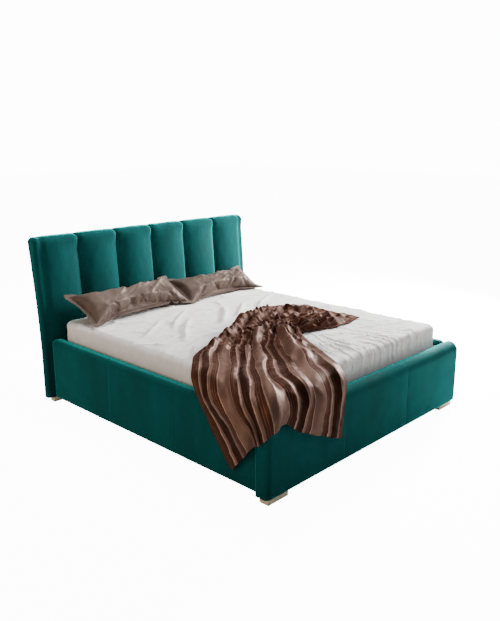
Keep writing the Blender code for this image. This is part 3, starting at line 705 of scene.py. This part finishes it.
# The blanket's long edges, as (length from the hem, a, b): a is the distance inboard of the mattress's left
# edge and b the distance inboard of its foot edge. A negative one hangs over that edge.
THROW_LEFT = ((0.00, -0.545, 0.165), (0.12, -0.43, 0.26), (0.25, -0.324, 0.335), (0.42, -0.187, 0.435),
              (0.60, -0.03, 0.565), (0.76, 0.09, 0.69), (0.98, 0.27, 0.785), (1.20, 0.50, 0.85),
              (1.45, 0.74, 1.03), (1.72, 1.01, 1.09), (2.00, 1.27, 1.22))
THROW_RIGHT = ((0.00, 0.49, -0.45), (0.10, 0.504, -0.355), (0.28, 0.52, -0.17), (0.44, 0.575, -0.02),
               (0.55, 0.645, 0.067), (0.90, 0.80, 0.371), (1.10, 0.92, 0.54), (1.30, 1.04, 0.50),
               (1.55, 1.20, 0.455), (1.80, 1.38, 0.46), (2.00, 1.56, 0.50))
# The two short edges between them: the hem round the corner of the bed, and the end on the mattress.
THROW_HEM = ((-0.545, 0.165), (-0.45, 0.075), (-0.385, 0.00), (-0.31, -0.10), (-0.247, -0.160),
             (-0.188, -0.175), (-0.15, -0.18), (-0.07, -0.185), (-0.009, -0.20), (0.035, -0.241),
             (0.093, -0.28), (0.203, -0.331), (0.348, -0.393), (0.49, -0.45))
THROW_END = ((1.27, 1.22), (1.38, 1.15), (1.44, 1.05), (1.55, 1.06), (1.575, 0.95), (1.50, 0.76),
             (1.545, 0.63), (1.56, 0.50))


# ---- mattress and fitted sheet ----
FOOT_INSET = 0.128            # from the footboard's front face to the mattress
SOFT_EDGE = 0.036             # radius of the mattress's edges, seen from the side
PLAN_CORNER = 0.024           # and how much further its corners are rounded, seen from above
MATTRESS_CENTRE = np.array([(MATTRESS[0][0] + MATTRESS[1][0]) / 2.0, (MATTRESS[0][1] + MATTRESS[1][1]) / 2.0])
MATTRESS_HALF = ((MATTRESS[1][0] - MATTRESS[0][0]) / 2.0, (MATTRESS[1][1] - MATTRESS[0][1]) / 2.0)
MATTRESS_HEIGHT = MATTRESS[1][2] - MATTRESS[0][2]
# Soft folds between the pillows and the throw, and a few finer ones: start, end, width and height.
SHEET_FOLDS = (((-0.62, 1.10), (-0.20, 1.52), 0.020, 0.0070), ((-0.70, 1.02), (-0.30, 1.12), 0.013, 0.0060),
               ((-0.78, 1.35), (-0.35, 1.62), 0.018, 0.0050), ((-0.15, 1.22), (0.25, 1.62), 0.024, 0.0070),
               ((0.05, 1.30), (0.45, 1.58), 0.016, 0.0060), ((-0.80, 0.95), (-0.45, 1.05), 0.012, 0.0050),
               ((-0.82, 1.18), (-0.42, 1.24), 0.014, 0.0050), ((-0.86, 0.78), (-0.60, 0.98), 0.014, 0.0050),
               ((0.30, 1.32), (0.80, 1.62), 0.022, 0.0060), ((0.45, 1.24), (0.85, 1.34), 0.018, 0.0055),
               ((0.62, 1.12), (0.86, 1.16), 0.015, 0.0050), ((-0.50, 1.36), (-0.05, 1.74), 0.017, 0.0050),
               ((-0.56, 1.20), (-0.10, 1.175), 0.005, 0.0030), ((-0.60, 1.44), (-0.12, 1.35), 0.006, 0.0026),
               ((-0.40, 1.72), (0.10, 1.60), 0.008, 0.0030), ((0.10, 1.50), (0.72, 1.46), 0.008, 0.0028))


def wrapped_box(half, top, drop, spacing):
    """A flat grid wrapped over a rounded box: points, normals, distances over the edge and ways off it.

    Rows run round the box. The distance is 0 on the flat top, and grows over the edge and down the side."""
    flat = [h - SOFT_EDGE - PLAN_CORNER for h in half]
    reach = PLAN_CORNER + SOFT_EDGE * math.pi / 2.0 + drop
    axes = []
    for length in flat:
        inner = np.linspace(-length, length, max(2, int(round(2.0 * length / spacing))) + 1)
        outer = np.linspace(0.0, reach, int(round(reach / spacing)) + 1)[1:]
        axes.append(np.concatenate([-length - outer[::-1], inner, length + outer]))
    x, y = np.meshgrid(axes[0], axes[1], indexing="ij")
    over_x = np.sign(x) * np.maximum(np.abs(x) - flat[0], 0.0)
    over_y = np.sign(y) * np.maximum(np.abs(y) - flat[1], 0.0)
    distance = np.maximum(np.abs(over_x), np.abs(over_y))
    length = np.maximum(np.hypot(over_x, over_y), 1e-9)
    way = np.stack([over_x / length, over_y / length], -1)
    past = distance - PLAN_CORNER
    turn = np.clip(past / SOFT_EDGE, 0.0, math.pi / 2.0)
    level = np.minimum(distance, PLAN_CORNER) + SOFT_EDGE * np.sin(turn)
    fall = SOFT_EDGE * (1.0 - np.cos(turn)) + np.maximum(past - SOFT_EDGE * math.pi / 2.0, 0.0)
    plan = np.stack([x - over_x, y - over_y], -1) + way * level[..., None] + MATTRESS_CENTRE
    points = np.concatenate([plan, (top - fall)[..., None]], -1)
    normals = np.concatenate([way * np.sin(turn)[..., None], np.cos(turn)[..., None]], -1)
    return points, normals, distance, way


def throw_cover(a, b):
    """Distance of plan points inside the blanket's outline; negative outside it."""
    left = [row[1:] for row in THROW_LEFT]
    right = [row[1:] for row in THROW_RIGHT]
    outline = [*left, *THROW_END[1:], *right[-2::-1], *THROW_HEM[-2:0:-1]]
    inside = np.zeros(np.shape(a), dtype=bool)
    nearest = np.full(np.shape(a), 1e9)
    for (a0, b0), (a1, b1) in zip(outline, outline[1:] + outline[:1]):
        run_a, run_b = a1 - a0, b1 - b0
        along = np.clip(((a - a0) * run_a + (b - b0) * run_b) / (run_a ** 2 + run_b ** 2), 0.0, 1.0)
        nearest = np.minimum(nearest, np.hypot(a - a0 - along * run_a, b - b0 - along * run_b))
        if b0 != b1:
            crosses = ((b0 > b) != (b1 > b)) & (a < (b - b0) / run_b * run_a + a0)
            inside ^= crosses
    return np.where(inside, nearest, -nearest)


def crease(x, y, start, end, width, height):
    """A soft fold along a line from start to end, steeper on one side."""
    start = np.array(start)
    run = np.array(end) - start
    length = np.hypot(*run)
    along = ((x - start[0]) * run[0] + (y - start[1]) * run[1]) / length ** 2
    away = ((y - start[1]) * run[0] - (x - start[0]) * run[1]) / length
    away = away + 0.010 * np.sin(along * 5.0 + start[0] * 7.0)
    fade = smoothstep(-0.05, 0.25, along) * (1.0 - smoothstep(0.7, 1.05, along))
    ridge = bell(away, width) - 0.45 * bell(away - 1.5 * width, 1.3 * width)
    return height * fade * ridge


def foot_gathers(x, inboard):
    """Gathers that fan out from the blanket's heap, run to the foot end and down it."""
    bend = 0.030 * noise(x * 3.0, inboard * 4.0, 64) + 0.008 * noise(x * 10.0, inboard * 12.0, 65)
    fan = (x - 0.25 + bend) / (1.0 - 1.1 * np.clip(inboard, 0.0, 0.5))
    gathers = ridges(fan / 0.052, inboard * 2.4, 61) ** 3 + 0.60 * ridges(fan / 0.026, inboard * 4.0, 62) ** 2
    gathers = gathers * (0.60 + 0.55 * noise(x * 5.0 + 3.0, inboard * 5.0, 66))
    near = smoothstep(-0.42, -0.30, x) * (1.0 - 0.75 * smoothstep(0.05, 0.80, x))
    near = near * smoothstep(-0.17, -0.10, inboard) * (1.0 - smoothstep(0.35, 0.70, inboard))
    return 0.0155 * gathers * near


def sheet_relief(points, distance, seam):
    """Height of the fitted sheet's wrinkles above the mattress."""
    x = points[..., 0]
    y = points[..., 1] - FOOT_FRONT
    z = points[..., 2]
    top = 1.0 - smoothstep(0.03, 0.12, distance)
    relief = 0.0055 * layered_noise(x * 2.2 + 5.0, y * 2.2, 51) * top
    relief += 0.0036 * layered_noise(x * 6.0 + y * 3.0, y * 9.0 - x * 2.0, 52) * top
    for start, end, width, height in SHEET_FOLDS:
        relief += 2.5 * crease(x, y, start, end, width, height) * top
    # small sharp wrinkles all over the top, mostly along the mattress
    relief += 0.0080 * ridges(x * 3.5 + y * 2.0, y * 10.0 - x * 1.5, 53) ** 4 * top
    relief += 0.0030 * ridges(x * 7.0 + y * 6.0, y * 22.0 - x * 5.0, 54) ** 3 * top
    # it lies nearly flat under the blanket
    inboard = (y - FOOT_INSET) + (z - MATTRESS_TOP)
    relief += foot_gathers(x, inboard)
    relief *= 1.0 - 0.85 * smoothstep(-0.005, 0.035, throw_cover(x - MATTRESS[0][0], inboard))
    # faint slack in the left side, and gathers at the elastic corners
    side = smoothstep(0.10, 0.16, distance)
    relief += side * 0.0022 * layered_noise(x * 3.0 + y * 6.0, z * 5.0, 63)
    relief += side * seam * 0.0030 * np.sin(y * 2.0 * math.pi / 0.03 + x * 2.0 * math.pi / 0.03)
    return relief


def make_mattress():
    """The mattress itself, under the sheet: quilted ticking and a piped edge."""
    inset = 0.006
    drop = MATTRESS_HEIGHT - SOFT_EDGE - 0.010
    half = [h - inset for h in MATTRESS_HALF]
    points, normals, distance, _ = wrapped_box(half, MATTRESS_TOP - inset, drop, 0.022)
    piping = 0.004 * bell(distance - PLAN_CORNER - SOFT_EDGE * math.pi / 2.0, 0.005)
    points += normals * piping[..., None]
    rows, columns = distance.shape
    rim = [i * columns for i in range(rows)] + [(rows - 1) * columns + j for j in range(1, columns)]
    rim += [i * columns + columns - 1 for i in range(rows - 2, -1, -1)] + list(range(columns - 2, 0, -1))
    faces = grid_faces(rows, columns) + [rim[::-1]]
    core = mesh_object("mattress_core", points.reshape(-1, 3), faces, TICKING)
    face_outwards(core)
    finish_padded(core, "mattress", PLATFORM)


def make_sheet():
    """The fitted sheet, stretched over the mattress and tucked under it."""
    straight = MATTRESS_HEIGHT - SOFT_EDGE
    tuck = 0.034
    half = [h - 0.001 for h in MATTRESS_HALF]
    points, normals, distance, way = wrapped_box(half, MATTRESS_TOP, straight + tuck, 0.0085)
    over = distance - PLAN_CORNER - SOFT_EDGE * math.pi / 2.0 - straight
    lowest = MATTRESS[0][2] + 0.0008
    points[..., 2] = np.where(over > 0.0, lowest, np.maximum(points[..., 2], lowest))
    points[..., :2] -= way * np.maximum(over, 0.0)[..., None]
    seam = np.abs(way[..., 0] * way[..., 1]) * 2.0
    crown = 0.004 * (1.0 - smoothstep(0.0, 0.08, distance))
    rest = 1.0 - smoothstep(-0.02, 0.0, over)
    relief = (sheet_relief(points, distance, seam) + crown) * rest
    points += normals * relief[..., None]
    sheet = mesh_object("fitted_sheet", points.reshape(-1, 3), grid_faces(*distance.shape), COTTON)
    face_outwards(sheet)
    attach(sheet, PLATFORM)


# ---- pillows ----
PILLOW_FLANGE = 0.037         # width of the case's flat border
PILLOW_TILT = math.radians(29.0)
PILLOW_HEIGHT = 0.700         # of its middle
PILLOW_PUFF = 0.075           # the furthest that any point of it is blown out
MATTRESS_GAP = 0.012          # between the border and the mattress
HEADBOARD_GAP = 0.008         # and between the border and the headboard
SOFT_BEND = 0.020             # how softly it bends where it would meet them


def run_cloth(obj, frames, **settings):
    """Where the points of a mesh come to rest after some frames of cloth simulation without gravity."""
    modifier = obj.modifiers.new("cloth", "CLOTH")
    for key, value in settings.items():
        setattr(modifier.settings, key, value)
    modifier.settings.effector_weights.gravity = 0.0
    modifier.point_cache.frame_start = 1
    modifier.point_cache.frame_end = frames
    scene = bpy.context.scene
    for frame_number in range(1, frames + 1):
        scene.frame_set(frame_number)
    evaluated = obj.evaluated_get(bpy.context.evaluated_depsgraph_get())
    mesh = evaluated.to_mesh()
    points = np.empty(len(mesh.vertices) * 3)
    mesh.vertices.foreach_get("co", points)
    evaluated.to_mesh_clear()
    scene.frame_set(1)
    return points.reshape(-1, 3)


def pillow_envelope(half_width, half_depth, spacing):
    """Two layers of cloth sewn together at the edge: points, faces and the loop of seam points."""
    nx = int(round(2.0 * half_width / spacing))
    ny = int(round(2.0 * half_depth / spacing))
    s, t = np.meshgrid(np.linspace(-1.0, 1.0, nx + 1), np.linspace(-1.0, 1.0, ny + 1), indexing="ij")
    # the corners stick out a little, as a pillowcase's do
    pull = 1.0 - 0.035 * (1.0 - (s * t) ** 2)
    x = half_width * s * pull
    y = half_depth * t * pull
    dome = 0.022 * np.sqrt(np.clip((1.0 - s ** 2) * (1.0 - t ** 2), 0.0, 1.0))
    top = np.stack([x, y, dome], -1)
    bottom = np.stack([x, y, -dome], -1)
    index_top = np.arange((nx + 1) * (ny + 1)).reshape(nx + 1, ny + 1)
    index_bottom = index_top.copy()
    inner = np.zeros_like(index_top, dtype=bool)
    inner[1:-1, 1:-1] = True
    index_bottom[inner] = index_top.size + np.arange(inner.sum())
    verts = np.concatenate([top.reshape(-1, 3), bottom[inner]])
    faces = []
    for index, flip in ((index_top, False), (index_bottom, True)):
        quads = np.stack([index[:-1, :-1], index[1:, :-1], index[1:, 1:], index[:-1, 1:]], -1).reshape(-1, 4)
        faces += (quads[:, ::-1] if flip else quads).tolist()
    rim = [*index_top[:, 0], *index_top[-1, 1:], *index_top[-2::-1, -1], *index_top[0, -2:0:-1]]
    return verts, faces, rim


def inflated(verts, faces):
    """Points of the sewn case, filled by cloth simulation."""
    body = mesh_object("pillow_blank", verts, faces)
    moved = run_cloth(body, 26, quality=6, mass=0.25, tension_stiffness=18.0, compression_stiffness=18.0,
                      shear_stiffness=8.0, bending_stiffness=0.25, use_pressure=True,
                      uniform_pressure_force=3.6, air_damping=2.0)
    bpy.data.objects.remove(body, do_unlink=True)
    step = moved - verts
    length = np.linalg.norm(step, axis=1)[:, None]
    return verts + step * np.minimum(1.0, PILLOW_PUFF / np.maximum(length, 1e-9))


def satin_folds(verts, half_width, seed):
    """Height of the pulled folds that run slantwise over a pillow's upper face."""
    x, y, z = verts.T
    face = np.clip(z / 0.03, 0.0, 1.0)
    slant = y * 0.86 - x * 0.50
    lengthwise = x * 0.86 + y * 0.50
    bend = 0.034 * noise(x * 5.0, y * 5.0, seed)
    broad = 1.0 - np.abs(noise((slant + bend) * 18.0, lengthwise * 5.0, seed + 1))
    narrow = 1.0 - np.abs(noise((slant - bend) * 36.0, lengthwise * 11.0, seed + 2))
    s = x / half_width
    where = smoothstep(-0.85, -0.35, s) * (1.0 - 0.4 * smoothstep(0.7, 1.0, s))
    return face * where * (0.013 * (broad ** 4 - 0.3) + 0.0090 * (narrow ** 3 - 0.3))


def pillow_border(verts, faces, rim, half_size, seed):
    """Points with those of the case's border added, carried on outwards from the seam. Adds to the faces."""
    seam = verts[rim]
    away = seam[:, :2] / half_size
    side = np.where(np.abs(away[:, :1]) > np.abs(away[:, 1:]), 1.0, 0.0)
    outward = np.concatenate([side, 1.0 - side], 1) * np.sign(away)
    corner = np.minimum(np.abs(away[:, :1]), np.abs(away[:, 1:])) ** 10
    outward = outward * (1.0 - corner) + np.sign(away) * corner
    run = run_along(seam[:, :2])
    upper = []
    for share in (0.25, 0.5, 0.75, 1.0):
        height = seam[:, 2] * (1 - share) + 0.004 * share * layered_noise(run * 9.0, run * 0.0, seed)
        upper.append(np.column_stack([seam[:, :2] + outward * PILLOW_FLANGE * share, height]))
    upper = np.array(upper)
    half_cloth = np.array([0.0, 0.0, 0.0012])
    border = np.concatenate([upper + half_cloth, upper[::-1] - half_cloth])
    # both faces of the border start at the seam itself
    start = len(verts)
    count = len(rim)
    rings = [rim] + [range(start + k * count, start + (k + 1) * count) for k in range(len(border))] + [rim]
    for first, second in zip(rings[:-1], rings[1:]):
        for k in range(count):
            n = (k + 1) % count
            faces.append([first[k], first[n], second[n], second[k]])
    return np.concatenate([verts, border.reshape(-1, 3)])


def turned(u, v, angle):
    return u * math.cos(angle) - v * math.sin(angle), u * math.sin(angle) + v * math.cos(angle)


def soft_floor(value, floor, blend):
    """A value kept above a floor, with a smooth bend where it would meet it."""
    d = (value - floor) / blend
    return floor + blend * np.where(d > 20.0, d, np.log1p(np.exp(np.minimum(d, 20.0))))


def make_pillow(name, x_middle, y_middle, width, depth, lift, yaw, seed):
    """A satin pillow in a case with a flat border, leaning back against the headboard."""
    half_size = np.array([width / 2.0, depth / 2.0])
    verts, faces, rim = pillow_envelope(*half_size, 0.0105)
    verts = inflated(verts, faces)
    verts[:, 2] += satin_folds(verts, half_size[0], seed)
    x, y, z = pillow_border(verts, faces, rim, half_size, seed + 3).T

    # lean: the front edge lies on the mattress, the back edge against the headboard
    y, z = turned(y * (1.0 - 0.10 * np.clip(y, 0.0, None)), z, PILLOW_TILT)
    x, y = turned(x, y, yaw)
    z = soft_floor(PILLOW_HEIGHT + lift + z, MATTRESS_TOP + MATTRESS_GAP, SOFT_BEND)
    y = -soft_floor(-(bed_y(y_middle) + y), HEADBOARD_GAP - front_at(z), SOFT_BEND)
    pillow = mesh_object(name + "_case", np.column_stack([x + x_middle, y, z]), faces, SATIN)
    face_outwards(pillow)
    apply_modifier(pillow, "SUBSURF", levels=1, render_levels=1)
    finish_padded(pillow, name, PLATFORM)


# ---- throw ----
def edge_at(edge, length):
    """Plan point of one of the blanket's long edges, smoothly read between its given points."""
    table = np.array(edge)
    fine = np.linspace(0.0, table[-1, 0], 400)
    reach = 15
    kernel = np.hanning(2 * reach + 1)
    out = []
    for column in (1, 2):
        values = np.interp(fine, table[:, 0], table[:, column])
        before = values[0] + (values[1] - values[0]) * np.arange(-reach, 0)
        after = values[-1] + (values[-1] - values[-2]) * np.arange(1, reach + 1)
        values = np.concatenate([before, values, after])
        out.append(np.interp(length, fine, np.convolve(values, kernel / kernel.sum(), "valid")))
    return np.stack(out, -1)


def lay_on_bed(a, b):
    """Where plan points of the blanket lie on the bed, and which way is off it."""
    shoulder = 0.170              # length of blanket that bends over the edge
    drop = 0.120                  # how far it comes down while it bends
    clearance = 0.008             # its height above the mattress
    over_a = np.minimum(a, 0.0)
    over_b = np.minimum(b, 0.0)
    run = np.hypot(over_a, over_b)
    safe = np.maximum(run, 1e-9)
    way_x = over_a / safe
    way_y = over_b / safe
    # it hangs a little further out beside the footboard's end than beside the rail
    side = 0.100 + 0.024 * np.clip((0.18 - b) / 0.15, 0.0, 1.0)
    outline = np.abs(way_x / side) ** 10 + np.abs(way_y / FOOT_INSET) ** 10
    reach = np.where(run > 0.0, np.maximum(outline, 1e-30) ** -0.1, 0.0)
    share = np.clip(run / shoulder, 0.0, 1.0)
    level = reach * np.sin(share * math.pi / 2.0)
    fall = drop * (1.0 - np.cos(share * math.pi / 2.0)) + np.maximum(run - shoulder, 0.0)
    x = MATTRESS[0][0] + np.maximum(a, 0.0) + way_x * level
    y = MATTRESS[0][1] + np.maximum(b, 0.0) + way_y * level
    z = MATTRESS_TOP + clearance - fall
    off = np.stack([way_x * share, way_y * share, 1.0 - share], -1)
    off /= np.linalg.norm(off, axis=-1)[..., None]
    return np.stack([x, y, z], -1), off


def bow(edge, w):
    """How far a short edge departs from the straight line between its ends, across the blanket's width."""
    points = np.array(edge)
    along = run_along(points)
    at = np.stack([np.interp(w, along / along[-1], points[:, k]) for k in (0, 1)], -1)
    return at - (points[0] + (points[-1] - points[0]) * w[..., None])


def throw_plan(w, length, gather):
    """Plan points of the blanket at shares of its width and distances from its hem."""
    left = edge_at(THROW_LEFT, length[:, 0])[:, None, :]
    right = edge_at(THROW_RIGHT, length[:, 0])[:, None, :]
    # the folds wander sideways and are uneven
    wander = 0.030 * noise(w * 5.0, length * 2.6, 71) + 0.014 * noise(w * 9.0, length * 6.0, 72)
    place = np.clip(w + wander * np.sin(math.pi * w) ** 0.5, 0.0, 1.0)
    plan = left + (right - left) * place[..., None]
    plan += bow(THROW_HEM, w) * (1.0 - smoothstep(0.0, 0.55, length))[..., None]
    plan += bow(THROW_END, w) * smoothstep(1.55, 2.00, length)[..., None]
    # the whole heap is pushed about, so that its folds bend and break
    for axis, seed in ((0, 77), (1, 78)):
        push = 0.030 * noise(w * 6.0, length * 7.0, seed) + 0.014 * noise(w * 14.0, length * 16.0, seed + 10)
        plan[..., axis] += gather * push * np.sin(math.pi * np.clip(w, 0.04, 0.96))
    return plan


def throw_folds(w, length, gather):
    """Height of the blanket's folds: long ones in its fan and rolled ones at its neck."""
    phase = 2.0 * math.pi * (w * 8.5 + 0.75 * noise(w * 4.0, length * 2.4, 73))
    phase = phase + 1.2 * noise(length * 1.6, w * 0.0, 74)
    uneven = 0.70 + 0.60 * noise(w * 6.0, length * 3.0, 75)
    shoulder = bell(length - 0.42, 0.16)
    height = (0.0105 * (1.0 - 0.3 * shoulder) * (1.0 - gather) + 0.020 * gather) * uneven
    lift = height * (1.0 + np.sin(phase))
    # a rolled fold down the right side of the neck, with a hollow beside it, and a smaller one on the left
    neck = smoothstep(0.40, 0.62, length) * (1.0 - smoothstep(0.98, 1.16, length))
    middle = 0.80 + 0.10 * (0.8 - length)
    lift += 0.050 * bell(w - middle, 0.055) * neck
    lift -= 0.030 * bell(w - middle + 0.17, 0.06) * neck
    lift += 0.024 * bell(w - 0.10, 0.05) * smoothstep(0.58, 0.72, length)
    # one fold of the fan lies over its neighbour, down to the hem
    over = w - (0.475 + 0.10 * length)
    lift += 0.034 * bell(over, np.where(over < 0.0, 0.055, 0.010)) * (1.0 - smoothstep(0.45, 0.75, length))
    return lift


def throw_lift(w, length, gather, a, b):
    """Height of the blanket above the bed: its folds and crumples, flatter at its edges."""
    # crumples: sharp in the heap, fine and mostly crosswise in the fan
    crumple = (0.028 * ridges(a * 7.0, b * 7.0, 76) + 0.028 * ridges(a * 16.0 + b * 4.0, b * 14.0, 79) ** 1.5
               + 0.012 * ridges(a * 34.0, b * 30.0 - a * 8.0, 85))
    creases = (0.0060 * ridges(w * 9.0 - length * 3.0, length * 11.0, 80) ** 2
               + 0.0030 * ridges(w * 22.0, length * 17.0, 83))
    centre = bell(w - 0.66, 0.16) * bell(length - 0.45, 0.16)
    creases += 0.009 * ridges(w * 6.0 + length * 4.0, length * 12.0, 84) ** 2 * centre
    edge = smoothstep(0.0, 0.08, np.minimum(w, 1.0 - w)) * 0.85 + 0.15
    end = 1.0 - 0.85 * smoothstep(1.75, 2.0, length)
    lift = (throw_folds(w, length, gather) + crumple * gather) * edge * end + creases * (1.0 - gather)
    return np.maximum(lift, 0.0) + 0.002


def make_throw():
    """A striped blanket: gathered across the mattress and fanned out over the front left corner."""
    spacing = 0.0125
    columns = int(round(THROW_WIDTH / spacing)) + 1
    rows = int(round(THROW_LENGTH / spacing)) + 1
    w = np.linspace(0.0, 1.0, columns)[None, :]
    length = np.linspace(0.0, THROW_LENGTH, rows)[:, None]
    gather = smoothstep(0.60, 1.00, length)
    a, b = np.moveaxis(throw_plan(w, length, gather), -1, 0)
    points, off = lay_on_bed(a, b)
    # it stays above the sheet's wrinkles
    lift = throw_lift(w, length, gather, a, b)
    lift = np.maximum(lift, np.maximum(sheet_relief(points, np.zeros(a.shape), 0.0), 0.0) - 0.002)
    points += off * lift[..., None]
    throw = mesh_object("striped_blanket", points.reshape(-1, 3), grid_faces(rows, columns), STRIPES)
    flat = np.stack(np.broadcast_arrays(w * THROW_WIDTH, length), -1).reshape(-1, 2)
    corners = np.empty(len(throw.data.loops), dtype=np.int32)
    throw.data.loops.foreach_get("vertex_index", corners)
    layer = throw.data.uv_layers.new(name="flat")
    layer.data.foreach_set("uv", flat[corners].astype(np.float32).ravel())
    apply_modifier(throw, "SOLIDIFY", thickness=0.003, offset=0.0)
    apply_modifier(throw, "SUBSURF", levels=1, render_levels=1)
    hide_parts("throw")
    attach(throw, PLATFORM)


# ---- carried-over CAD nodes ----
def paint_nodes():
    """Every node that keeps its CAD shape gets its finish."""
    finishes = (
        ("headboard_back_lining", LINING), ("headboard_board", PINE_ACROSS), ("footboard_board", PINE_ACROSS),
        ("side_rail_board", PINE), ("centre_beam", PINE), ("floor_batten", PINE), ("floor_panel", PANEL),
        ("foot_", BEECH), ("centre_leg", BEECH), ("slat_holder", PLASTIC), ("slat_", BIRCH),
        ("gas_rod", CHROME), ("corner_bracket", STEEL), ("lift_", STEEL), ("guide_link", STEEL),
        ("gas_cylinder", STEEL))
    for name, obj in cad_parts.items():
        for start, material in finishes:
            if name.startswith(start):
                obj.data.materials.clear()
                obj.data.materials.append(material)
                break


# ---- floor, light and camera ----
AMBIENT = 0.20                # light from all round
SURROUND_GLOW = 14.0          # how bright the surround and the floor look to the camera
FLOOR_GLOW = 13.0


def seen_by_camera(tree, dim, bright):
    """A shader that lights the scene as one shader and looks like another."""
    path = tree.nodes.new("ShaderNodeLightPath")
    mix = tree.nodes.new("ShaderNodeMixShader")
    tree.links.new(path.outputs["Is Camera Ray"], mix.inputs[0])
    tree.links.new(dim, mix.inputs[1])
    tree.links.new(bright, mix.inputs[2])
    return mix.outputs[0]


def make_floor():
    """A pale floor that looks as white as the surround."""
    corners = [(-30, -30, 0), (30, -30, 0), (30, 30, 0), (-30, 30, 0)]
    floor = mesh_object("studio_floor", corners, [(0, 1, 2, 3)])
    m = Nodes("pale_floor")
    matte = m.done(Base_Color=(0.86, 0.86, 0.86, 1.0), Roughness=0.9, Specular_IOR_Level=0.1)
    floor.data.materials.append(matte)
    shader = m.shader.outputs[0]
    glow = m.new("ShaderNodeEmission", {"Strength": FLOOR_GLOW}).outputs[0]
    both = m.new("ShaderNodeAddShader", {0: shader, 1: glow}).outputs[0]
    m.put(m.tree.nodes["Material Output"].inputs["Surface"], seen_by_camera(m.tree, shader, both))


def make_surround():
    """A white world, which lights the bed only faintly."""
    world = bpy.data.worlds.new("studio")
    bpy.context.scene.world = world
    world.use_nodes = True
    tree = world.node_tree
    backgrounds = (tree.nodes["Background"], tree.nodes.new("ShaderNodeBackground"))
    for node, strength in zip(backgrounds, (AMBIENT, SURROUND_GLOW)):
        node.inputs["Color"].default_value = (1.0, 1.0, 1.0, 1.0)
        node.inputs["Strength"].default_value = strength
    shown = seen_by_camera(tree, *[node.outputs[0] for node in backgrounds])
    tree.links.new(shown, tree.nodes["World Output"].inputs["Surface"])


def softbox(name, place, target, size, power, color=(1.0, 1.0, 1.0)):
    light = bpy.data.lights.new(name, "AREA")
    light.shape = "RECTANGLE"
    light.size, light.size_y = size
    light.energy = power
    light.color = color
    lamp = link(bpy.data.objects.new(name, light))
    lamp.location = place
    lamp.rotation_euler = (Vector(target) - Vector(place)).to_track_quat("-Z", "Y").to_euler()


def make_lights():
    """A strong light on the head end's right, weaker ones at the foot end and above, and a warm one left."""
    softbox("key_foot", (3.4, -2.7, 1.5), (0.4, -0.9, 0.4), (1.4, 1.4), 52.0)
    softbox("key_head", (4.1, -0.15, 1.8), (0.0, 1.0, 0.8), (0.7, 1.4), 690.0)
    softbox("overhead", (0.3, 0.9, 4.2), (0.0, 0.0, 0.4), (2.4, 2.4), 160.0)
    softbox("fill_left", (-5.0, 1.6, 1.6), (-1.0, 0.0, 0.5), (2.0, 2.0), 94.0, (1.0, 0.79, 0.60))


def make_camera():
    """A camera at the height and angle of a product picture taken from the foot end's left."""
    data = bpy.data.cameras.new("camera")
    data.sensor_width = 36.0
    data.lens = 39.7
    camera = link(bpy.data.objects.new("camera", data))
    camera.location = (-3.4, bed_y(-2.1605), 1.8965)
    camera.rotation_euler = (math.radians(90.0 - 14.27), 0.0, math.radians(-46.21))
    bpy.context.scene.camera = camera


make_camera()
make_floor()
make_surround()
make_lights()
make_headboard()
make_rail_pads()
make_footboard_pad()
make_mattress()
make_sheet()
make_pillow("pillow_left", -0.385, 1.965, 0.980, 0.360, 0.0, math.radians(4.5), 81)
make_pillow("pillow_right", 0.500, 1.985, 0.865, 0.340, -0.026, math.radians(1.0), 91)
make_throw()
paint_nodes()
